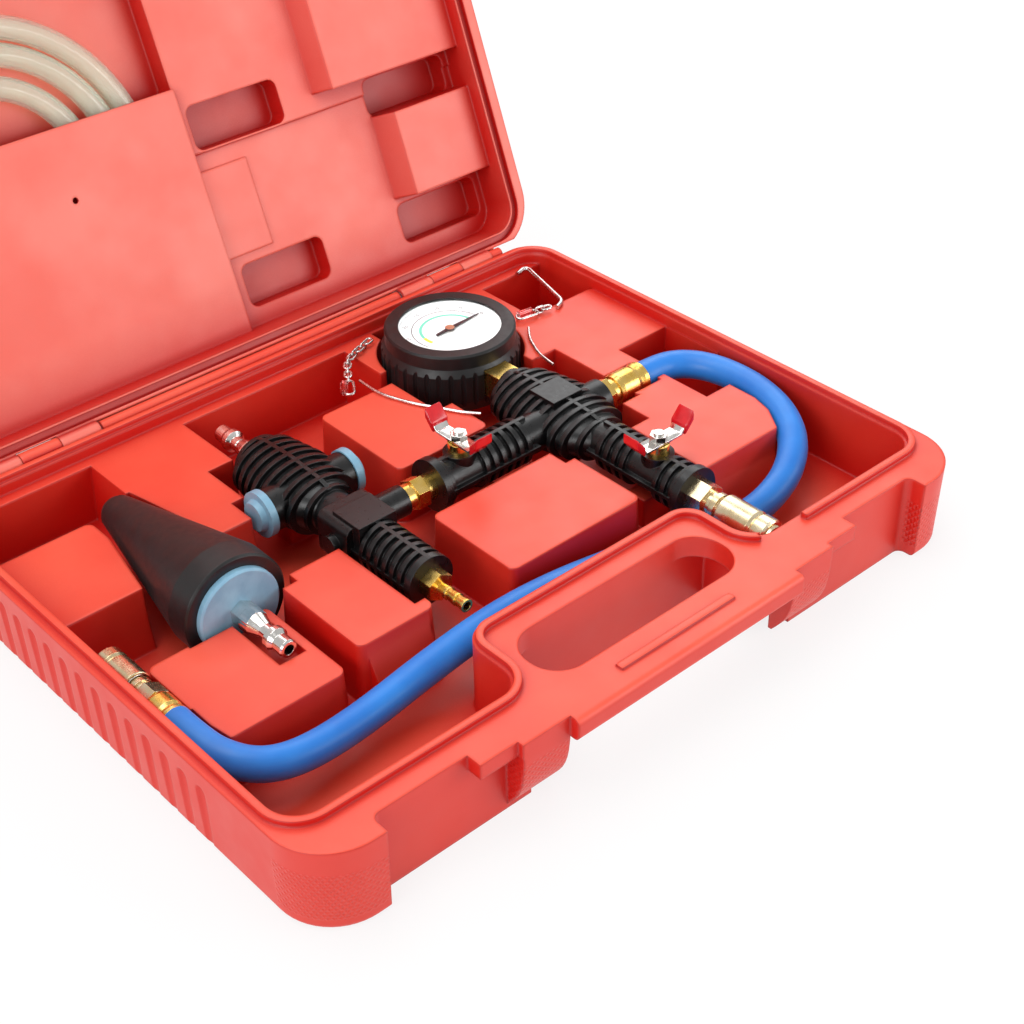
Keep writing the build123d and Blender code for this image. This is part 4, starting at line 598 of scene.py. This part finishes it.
def gauge_room(corners, start, end):
    """Floor that the photograph shows open beside the gauge, up to the round of its nest."""
    points = list(corners)
    for i in range(NEST_STEPS + 1):
        angle = radians(start + (end - start) * i / NEST_STEPS)
        points.append((NEST_PLACE[0] + NEST_RADIUS * cos(angle), NEST_PLACE[1] + NEST_RADIUS * sin(angle)))
    return [from_case(x, y, ROOM_FLOOR) for x, y in points], Vector((0, 0, ROOM_HEIGHT * MM))


def moulded_base(finish):
    base = merged_copy("moulded_base", "case_base")
    shaped(base, prisms("front_cut", both_sides(*block_outline(*LEG_FRONT_CUT))), "DIFFERENCE")
    shaped(base, prisms("under_cut", both_sides(*block_outline(*LEG_UNDER_CUT))), "DIFFERENCE")
    shaped(base, prisms("legs", both_sides(*leg_outline())), "UNION")
    opened = [gauge_room(*room) for room in GAUGE_ROOMS] + [block_outline(*LOW_STEP_CUT)]
    shaped(base, prisms("nest_cut", opened), "DIFFERENCE")
    smooth_by_angle(base.data)
    flat_faces_stay_flat(base)
    dressed(base, finish, "case", "case_base")


RAIL_RADIUS = 3.4
RAIL_SPANS = [(26, 34), (103, 297), (366, 374)]
RAIL_FRONT, RAIL_FRONT_TOP = 312.4, -0.6
RAIL_FIRST_ANGLE, RAIL_STEP_ANGLE, RAIL_STEPS = -90, 22.5, 12


def hinge_rails(finish):
    """Plain rounded rails on the hinge line, between the knuckles."""
    shapes = []
    for x0, x1 in RAIL_SPANS:
        points = [from_case(x0, RAIL_FRONT, -RAIL_RADIUS)]
        for i in range(RAIL_STEPS + 1):
            angle = radians(RAIL_FIRST_ANGLE + RAIL_STEP_ANGLE * i)
            y = HINGE_FROM_FRONT + RAIL_RADIUS * cos(angle)
            points.append(from_case(x0, y, RAIL_RADIUS * sin(angle)))
        points.append(from_case(x0, RAIL_FRONT, RAIL_FRONT_TOP))
        shapes.append((points, Vector(((x1 - x0) * MM, 0, 0))))
    rails = prisms("hinge_rails", shapes)
    smooth_by_angle(rails.data)
    dressed(rails, finish, "case")


# The strip as lid_block takes it, and the lip without its left and right, which the rails give
LID_STRIP = (212.5, 244, 217.5, 266.5, 22.6, 24.6)
HINGE_LIP = (312.2, 319, 4.1, 5.8)


def lid_block(left, right, low, high, front, back):
    """A block of the shut lid: across, back from the case's front and up from its rim."""
    foot = [from_lid(x, y, back) for x, y in ((left, low), (right, low), (right, high), (left, high))]
    return foot, from_lid(left, low, front) - foot[0]


def lid_mouldings(finish):
    """The low strip on the lid's near panel, and the lip that closes the gap behind the rails."""
    strip = prisms("lid_strip", [lid_block(*LID_STRIP)])
    lip = prisms("lid_hinge_lip", [lid_block(x0, x1, *HINGE_LIP) for x0, x1 in RAIL_SPANS])
    for made in (strip, lip):
        dressed(made, finish, "lid")


# Valve handles: pressed wings with their ends bent up and dipped in vinyl

WING_FLAT = 12.5
WING_TIP = 18.5
WING_RISE = 7.0
WING_PLATE = 1.4
WING_HALF_WIDTH = 4.2
WING_UNDER = 9.7
WING_START, WING_ROUND = 0.2, 0.3
CAP_START = WING_FLAT + 1.2
CAP_WALL, CAP_ROUND = 1.1, 1.0
VALVES = {"left": (218.52, 172.0), "front": (288.52, 104.0)}


def wing_profile(start, grow, end):
    """Side view of a bent wing from a start to its tip, as distance out and height."""
    slope = WING_RISE / (WING_TIP - WING_FLAT)
    upright = (1 + slope * slope) ** 0.5
    foot, head = WING_UNDER - grow * upright, WING_UNDER + (WING_PLATE + grow) * upright
    rise, first = (end - WING_FLAT) * slope, (start - WING_FLAT) * slope
    if start < WING_FLAT:
        bend = WING_FLAT - WING_PLATE * (upright - 1) / slope
        return [(start, WING_UNDER), (WING_FLAT, WING_UNDER), (end, foot + rise), (end, head + rise),
                (bend, WING_UNDER + WING_PLATE), (start, WING_UNDER + WING_PLATE)]
    return [(start, foot + first), (end, foot + rise), (end, head + rise), (start, head + first)]


def wing_prisms(place, along, profile, half_width):
    """The wing and its opposite, from a profile, for a handle that lies along X or Y."""
    shapes = []
    for side in (1, -1):
        outline = []
        for out, height in profile:
            x, y = (out * side, -half_width) if along == "x" else (-half_width, out * side)
            outline.append(from_case(place[0] + x, place[1] + y, height))
        push = (0, 2 * half_width, 0) if along == "x" else (2 * half_width, 0, 0)
        shapes.append((outline, Vector(push) * MM))
    return shapes


def valve_handles(metal, vinyl):
    for name, place in VALVES.items():
        along = "y" if name == "left" else "x"
        profile = wing_profile(WING_START, 0, WING_TIP)
        wings = prisms(name + "_wings", wing_prisms(place, along, profile, WING_HALF_WIDTH))
        rounded(wings, WING_ROUND, 2)
        profile = wing_profile(CAP_START, CAP_WALL, WING_TIP + CAP_WALL)
        caps = prisms(name + "_caps", wing_prisms(place, along, profile, WING_HALF_WIDTH + CAP_WALL))
        rounded(caps, CAP_ROUND, 3)
        dressed(wings, metal, name + "_valve", name + "_valve_handle")
        dressed(caps, vinyl, name + "_valve", name + "_handle_grips")


# The stretch of the exhaust barb that the photograph's shorter one lacks
BARB_CUT = ((140, 78, -20), (163, 89.05, 4))


def exhaust_barb(finish):
    """The exhaust barb with three of its four rings, clear of the hose that passes in front."""
    barb = merged_copy("exhaust_barb", "tail_barb_fitting")
    shaped(barb, prisms("barb_cut", [block_outline(*BARB_CUT)]), "DIFFERENCE")
    smooth_by_angle(barb.data)
    dressed(barb, finish, "case", "tail_barb_fitting")


# Blue hose round the tray: the route of the part's source, raised behind the handle block

HOSE_RADIUS = 7.7 * MM
HOSE_BORE = 4.5 * MM
BLUE_HOSE_ROUTE = [
    (344.52, 171.99, -8.0), (358.0, 172.0, -8.0), (370.5, 167.5, -8.2), (379.5, 156.0, -8.4),
    (383.4, 139.0, -8.6), (382.6, 119.0, -9.0), (376.5, 98.0, -10.2), (364.0, 79.5, -13.5),
    (345.0, 67.5, -19.0), (321.0, 63.5, -24.5), (296.0, 67.0, -26.8), (270.0, 77.6, -26.2),
    (236.0, 79.4, -23.0), (198.0, 78.6, -15.4), (160.0, 78.2, -12.6), (122.0, 78.0, -17.0),
    (80.0, 75.6, -22.6), (48.0, 72.6, -20.2), (29.5, 77.0, -17.6), (18.9, 90.5, -15.0),
    (16.48, 106.5, -14.0), (16.48, 120.59, -14.0),
]


def blue_hose(finish):
    line = smooth_line([from_case(*p) for p in BLUE_HOSE_ROUTE])
    hose = hose_piece("air_hose", line, HOSE_RADIUS, HOSE_BORE, "case", finish)
    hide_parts("blue_hose")


# Clear suction hose, wound flat in the lid's pocket

CLEAR_RADIUS = 6.25 * MM
CLEAR_BORE = 4.6 * MM
COIL_PITCH = 13.5
COIL_FIRST_RADIUS = 52.0
COIL_START_GAP = 2.0
COIL_HALF_TURNS = 6
COIL_DEPTH = 29.45
COIL_PLACE = (107.2, 194.64)
POINTS_PER_HALF_TURN = 8


def coil_points():
    """The spiral's control points: half circles that grow by half a pitch, on the closed lid."""
    x, y = COIL_PLACE
    straight = CLEAR_RADIUS * 2 / MM
    points = [(x + COIL_FIRST_RADIUS, y + straight)]
    centre, last = x, COIL_FIRST_RADIUS
    spread = 1 / cos(pi / POINTS_PER_HALF_TURN / 2)
    for i in range(COIL_HALF_TURNS):
        radius = COIL_FIRST_RADIUS
        if i:
            radius += COIL_START_GAP + COIL_PITCH / 2 * i
            centre += (radius - last) * (1 if i % 2 else -1)
        first = 0 if i % 2 == 0 else pi
        for k in range(POINTS_PER_HALF_TURN):
            angle = first - pi * (k + 0.5) / POINTS_PER_HALF_TURN
            points.append((centre + radius * spread * cos(angle), y + radius * spread * sin(angle)))
        last = radius
    points.append((points[-1][0], y - straight))
    return [from_lid(px, py, COIL_DEPTH) for px, py in points]


def clear_hose(finish):
    line = smooth_line(coil_points())
    hose = hose_piece("suction_hose", line, CLEAR_RADIUS, CLEAR_BORE, "lid", finish)
    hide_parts("clear_hose")


# Gauge dial: printed scale, two coloured bands and plain numbers

PRINT_LIFT = 0.04
SCALE_START, SCALE_SWEEP = 4.0, 190.0
WORKING_SWEEP, CAUTION_SWEEP = 167.0, 23.0
SCALE_STEPS, STEPS_PER_NUMBER = 30, 5
SCALE_ARC = (20.6, 21.1)
WORKING_BAND = (15.2, 16.8)
CAUTION_BAND = (15.0, 17.0)
MARK_REACH = 19.6
SHORT_MARK, LONG_MARK, MARK_WIDTH = 1.4, 2.6, 0.22
NUMBER_REACH, NUMBER_SIZE = 24.4, 3.4


def gauge_centre():
    low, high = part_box("gauge_dial")
    return Vector(((low.x + high.x) / 2, (low.y + high.y) / 2, high.z))


def dial_band(name, edges, start, sweep, finish):
    """A printed arc on the dial, from a start angle in degrees."""
    centre = gauge_centre() + Vector((0, 0, PRINT_LIFT * MM))
    steps = max(2, int(abs(sweep) / 2))
    points, faces = [], []
    for i in range(steps + 1):
        angle = radians(start + sweep * i / steps)
        for radius in edges:
            points.append(centre + Vector((cos(angle), sin(angle), 0)) * radius * MM)
    for i in range(steps):
        faces.append((2 * i, 2 * i + 1, 2 * i + 3, 2 * i + 2))
    return mesh_piece(name, points, faces, "case", finish)


def tick_tree(finish):
    """Geometry nodes that set scale marks round an arc, every fifth one longer."""
    tree = bpy.data.node_groups.new("dial_ticks", "GeometryNodeTree")
    for name, kind in (("Centre", "NodeSocketVector"), ("Reach", "NodeSocketFloat"),
                       ("Short mark", "NodeSocketFloat"), ("Long mark", "NodeSocketFloat"),
                       ("Mark width", "NodeSocketFloat"), ("Marks", "NodeSocketInt"),
                       ("Start", "NodeSocketFloat"), ("Sweep", "NodeSocketFloat")):
        tree.interface.new_socket(name, in_out="INPUT", socket_type=kind)
    tree.interface.new_socket("Mesh", in_out="OUTPUT", socket_type="NodeSocketGeometry")
    given = add(tree, "NodeGroupInput").outputs
    arc = add(tree, "GeometryNodeCurveArc", {"Resolution": given["Marks"], "Radius": given["Reach"],
                                             "Start Angle": given["Start"], "Sweep Angle": given["Sweep"]})
    points = add(tree, "GeometryNodeCurveToPoints", {"Curve": arc.outputs["Curve"]}, mode="EVALUATED")
    index = add(tree, "GeometryNodeInputIndex")
    numbered = arithmetic(tree, "MODULO", index.outputs[0], STEPS_PER_NUMBER)
    whole = arithmetic(tree, "LESS_THAN", numbered, 0.5)
    length = add(tree, "ShaderNodeMix", {0: whole, 2: given["Short mark"], 3: given["Long mark"]})
    angle = arithmetic(tree, "MULTIPLY", index.outputs[0], given["Sweep"])
    shared = arithmetic(tree, "DIVIDE", angle, arithmetic(tree, "SUBTRACT", given["Marks"], 1.0))
    turned = arithmetic(tree, "ADD", shared, given["Start"])
    heading = add(tree, "ShaderNodeCombineXYZ", {"Z": turned})
    mark = add(tree, "GeometryNodeMeshGrid",
               {"Size X": 1.0, "Size Y": 1.0, "Vertices X": 2, "Vertices Y": 2})
    size = add(tree, "ShaderNodeCombineXYZ", {"X": length.outputs[0], "Y": given["Mark width"], "Z": 1.0})
    spread = add(tree, "GeometryNodeInstanceOnPoints",
                 {"Points": points.outputs["Points"], "Instance": mark.outputs["Mesh"],
                  "Rotation": heading.outputs[0], "Scale": size.outputs[0]})
    real = add(tree, "GeometryNodeRealizeInstances", {0: spread.outputs[0]})
    moved = add(tree, "GeometryNodeTransform", {"Geometry": real.outputs[0], "Translation": given["Centre"]})
    printed = add(tree, "GeometryNodeSetMaterial", {"Geometry": moved.outputs[0], "Material": finish})
    add(tree, "NodeGroupOutput", {0: printed.outputs[0]})
    return tree


def baked(name, tree, values, body):
    """The mesh that a geometry node tree makes with these values, as a piece."""
    seed = placed(name, bpy.data.meshes.new(name))
    modifier = seed.modifiers.new("made", "NODES")
    modifier.node_group = tree
    for socket in tree.interface.items_tree:
        if socket.in_out == "INPUT" and socket.name in values:
            modifier[socket.identifier] = values[socket.name]
    settled(seed)
    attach(seed, body)


def dial_number(text, angle, finish):
    """A plain number on the dial, read with the stem below."""
    data = bpy.data.curves.new("number_" + text, "FONT")
    data.body = text
    data.size = NUMBER_SIZE * MM
    data.align_x, data.align_y = "CENTER", "CENTER"
    writing = placed("number_" + text, data)
    flat = bpy.data.meshes.new_from_object(writing.evaluated_get(bpy.context.evaluated_depsgraph_get()))
    bpy.data.objects.remove(writing)
    outward = Vector((cos(radians(angle)), sin(radians(angle)), 0))
    place = gauge_centre() + outward * NUMBER_REACH * MM + Vector((0, 0, PRINT_LIFT * MM))
    flat.transform(Matrix.Translation(place))
    dressed(placed("dial_number_" + text, flat), finish, "case")


def dial_print(ink, green, yellow):
    dial_band("dial_scale_arc", SCALE_ARC, SCALE_START, SCALE_SWEEP, ink)
    dial_band("dial_working_band", WORKING_BAND, SCALE_START, WORKING_SWEEP, green)
    dial_band("dial_caution_band", CAUTION_BAND, SCALE_START + WORKING_SWEEP, CAUTION_SWEEP, yellow)
    values = {"Centre": gauge_centre() + Vector((0, 0, PRINT_LIFT * MM)), "Reach": MARK_REACH * MM,
              "Short mark": SHORT_MARK * MM, "Long mark": LONG_MARK * MM, "Mark width": MARK_WIDTH * MM,
              "Marks": SCALE_STEPS + 1, "Start": radians(SCALE_START), "Sweep": radians(SCALE_SWEEP)}
    baked("dial_ticks", tick_tree(ink), values, "case")
    for value in range(0, SCALE_STEPS + 1, STEPS_PER_NUMBER):
        dial_number(str(value), SCALE_START + SCALE_SWEEP * value / SCALE_STEPS, ink)


# Dressing the CAD nodes

YELLOW_BRASS = ("#ecc05c", "#f4cf7c")
LENGTHWISE_BRASS = {"tail_barb_fitting", "gauge_stem"}
COUPLER_BRASS = {"front_coupler_body", "front_coupler_sleeve", "hose_coupler_body",
                 "hose_coupler_sleeve"}
LID_MOULDINGS = {"case_lid", "left_latch", "right_latch"}


def materials_by_slot():
    return {
        # The base's red, with painted light and painted shade in its colour
        "case_red": blow_moulded_polyethylene("blow_moulded_polyethylene_base_painted_light", "#f04a34", "#f45a42",
                                              "#c81208", (0, 0, 1)),
        "nylon_black": glass_filled_nylon(),
        "brass": turned_brass("turned_brass_across", 0, *YELLOW_BRASS),
        "chrome": nickel_chrome_plate(),
        "steel_wire": zinc_plated_wire(),
        "vinyl_red": dipped_vinyl(),
        "hose_blue": hose_cover_rubber(),
        "rubber_black": moulded_rubber(),
        "disc_blue": moulded_abs(),
        "dial_white": baked_enamel("baked_enamel_white", "#f2f3f3", "#f7f8f8", 0.4),
        "needle_black": lacquered_needle(),
        "lens_clear": clear_plastic("polycarbonate_lens", "#ffffff", 0.02, 1.2, "#f4f6f6"),
        "ptfe": moulded_ptfe(),
        "clear_pvc": clear_plastic("flexible_pvc_clear", "#f3f7ec", 0.12, 1.4, "#e6eadf", milk=0.2),
        "sleeve_pink": clear_plastic("flexible_pvc_pink", "#f7a3a3", 0.12, 1.4, "#f5b5b5"),
    }


def dress_nodes(finishes, along, lid_red_painted_reflection):
    pale = turned_brass("pale_turned_brass", 1, "#e6d0a4", "#f3e2c0")
    slots = {s["node"]: s["material_slot"] for s in frame["record"]["subparts"]}
    for name, made in frame["nodes"].items():
        finish = finishes[slots[name]]
        if name in LENGTHWISE_BRASS:
            finish = along
        elif name in COUPLER_BRASS:
            finish = pale
        elif name in LID_MOULDINGS:
            # The lid's mouldings take the paler red, with its painted reflection
            finish = lid_red_painted_reflection
        made.data.materials.clear()
        made.data.materials.append(finish)


# Floor, backdrop and soft studio light

FLOOR_HALF_SIZE = 6.0
FLOOR_GLOW_SHARE = 0.82
AMBIENT_STRENGTH = 0.58
PART_MIDDLE = (0.0, 0.0, 0.08)

# Each softbox: its name, its place, the point that it faces, its width and height, its power
SOFTBOXES = [
    ("softbox_above", (-0.25, 0.3, 1.5), PART_MIDDLE, (1.3, 0.9), 10.0),
    ("softbox_behind", (0.8, 1.0, 0.95), PART_MIDDLE, (1.5, 0.9), 9.0),
    ("softbox_left", (-1.5, -0.4, 0.7), PART_MIDDLE, (1.0, 0.8), 10.0),
    ("softbox_right", (0.85, -1.0, 0.4), (0.0, 0.25, 0.2), (1.0, 0.6), 7.0),
]


def seen_by(tree, *rays):
    """One for rays of any of these kinds, and nothing for the others."""
    path = add(tree, "ShaderNodeLightPath").outputs
    seen = path[rays[0]]
    for ray in rays[1:]:
        seen = arithmetic(tree, "MAXIMUM", seen, path[ray])
    return seen


def studio_floor():
    made, tree, _ = begin("studio_floor")
    seen = seen_by(tree, "Is Camera Ray", "Is Glossy Ray", "Is Transmission Ray")
    share = arithmetic(tree, "MULTIPLY", seen, FLOOR_GLOW_SHARE)
    paper = add(tree, "ShaderNodeBsdfDiffuse", {"Color": linear("#f4f4f4")})
    glow = add(tree, "ShaderNodeEmission", {"Color": (1, 1, 1, 1), "Strength": 1.0})
    mixed = add(tree, "ShaderNodeMixShader", {0: share, 1: paper.outputs[0], 2: glow.outputs[0]})
    close(tree, mixed.outputs[0])
    sides = ((-1, -1), (1, -1), (1, 1), (-1, 1))
    corners = [(x * FLOOR_HALF_SIZE, y * FLOOR_HALF_SIZE, 0) for x, y in sides]
    data = bpy.data.meshes.new("floor")
    data.from_pydata(corners, [], [(0, 1, 2, 3)])
    data.materials.append(made)
    placed("floor", data)


def studio_world():
    world = bpy.data.worlds.new("studio")
    world.use_nodes = True
    tree = world.node_tree
    tree.nodes.clear()
    seen = seen_by(tree, "Is Camera Ray", "Is Transmission Ray")
    ambient = add(tree, "ShaderNodeBackground", {"Color": (1, 1, 1, 1), "Strength": AMBIENT_STRENGTH})
    white = add(tree, "ShaderNodeBackground", {"Color": (1, 1, 1, 1), "Strength": 1.0})
    mixed = add(tree, "ShaderNodeMixShader", {0: seen, 1: ambient.outputs[0], 2: white.outputs[0]})
    add(tree, "ShaderNodeOutputWorld", {"Surface": mixed.outputs[0]})
    bpy.context.scene.world = world


def soft_light(name, place, target, size, power):
    data = bpy.data.lights.new(name, "AREA")
    data.shape = "RECTANGLE"
    data.size, data.size_y = size
    data.energy = power
    lamp = placed(name, data)
    lamp.location = place
    lamp.rotation_euler = (Vector(target) - Vector(place)).to_track_quat("-Z", "Y").to_euler()


def main():
    finishes = materials_by_slot()
    place_camera()
    along = turned_brass("turned_brass_lengthwise", 1, *YELLOW_BRASS)
    # The lid takes a paler copy of the case's red: a painted reflection of the bright studio on its panels,
    # with the lit side set to the way the lid's panel faces
    lid_red_painted_reflection = blow_moulded_polyethylene("blow_moulded_polyethylene_lid_painted_reflection", "#f16655", "#f57a6a", "#c01007",
                                        (0, -sin(LID_ANGLE), -cos(LID_ANGLE)))
    dress_nodes(finishes, along, lid_red_painted_reflection)
    moulded_base(finishes["case_red"])
    hinge_rails(finishes["case_red"])
    lid_mouldings(lid_red_painted_reflection)
    valve_handles(finishes["chrome"], finishes["vinyl_red"])
    exhaust_barb(along)
    blue_hose(finishes["hose_blue"])
    clear_hose(finishes["clear_pvc"])
    ink = baked_enamel("printed_ink_grey", "#4a4d52", "#55585c", 0.5)
    green = baked_enamel("printed_ink_green", "#5fcbb0", "#66d1b6", 0.5)
    yellow = baked_enamel("printed_ink_yellow", "#f2cf2e", "#f6d63c", 0.5)
    dial_print(ink, green, yellow)
    studio_floor()
    studio_world()
    for softbox in SOFTBOXES:
        soft_light(*softbox)
    bpy.context.scene.view_settings.view_transform = "Standard"


main()
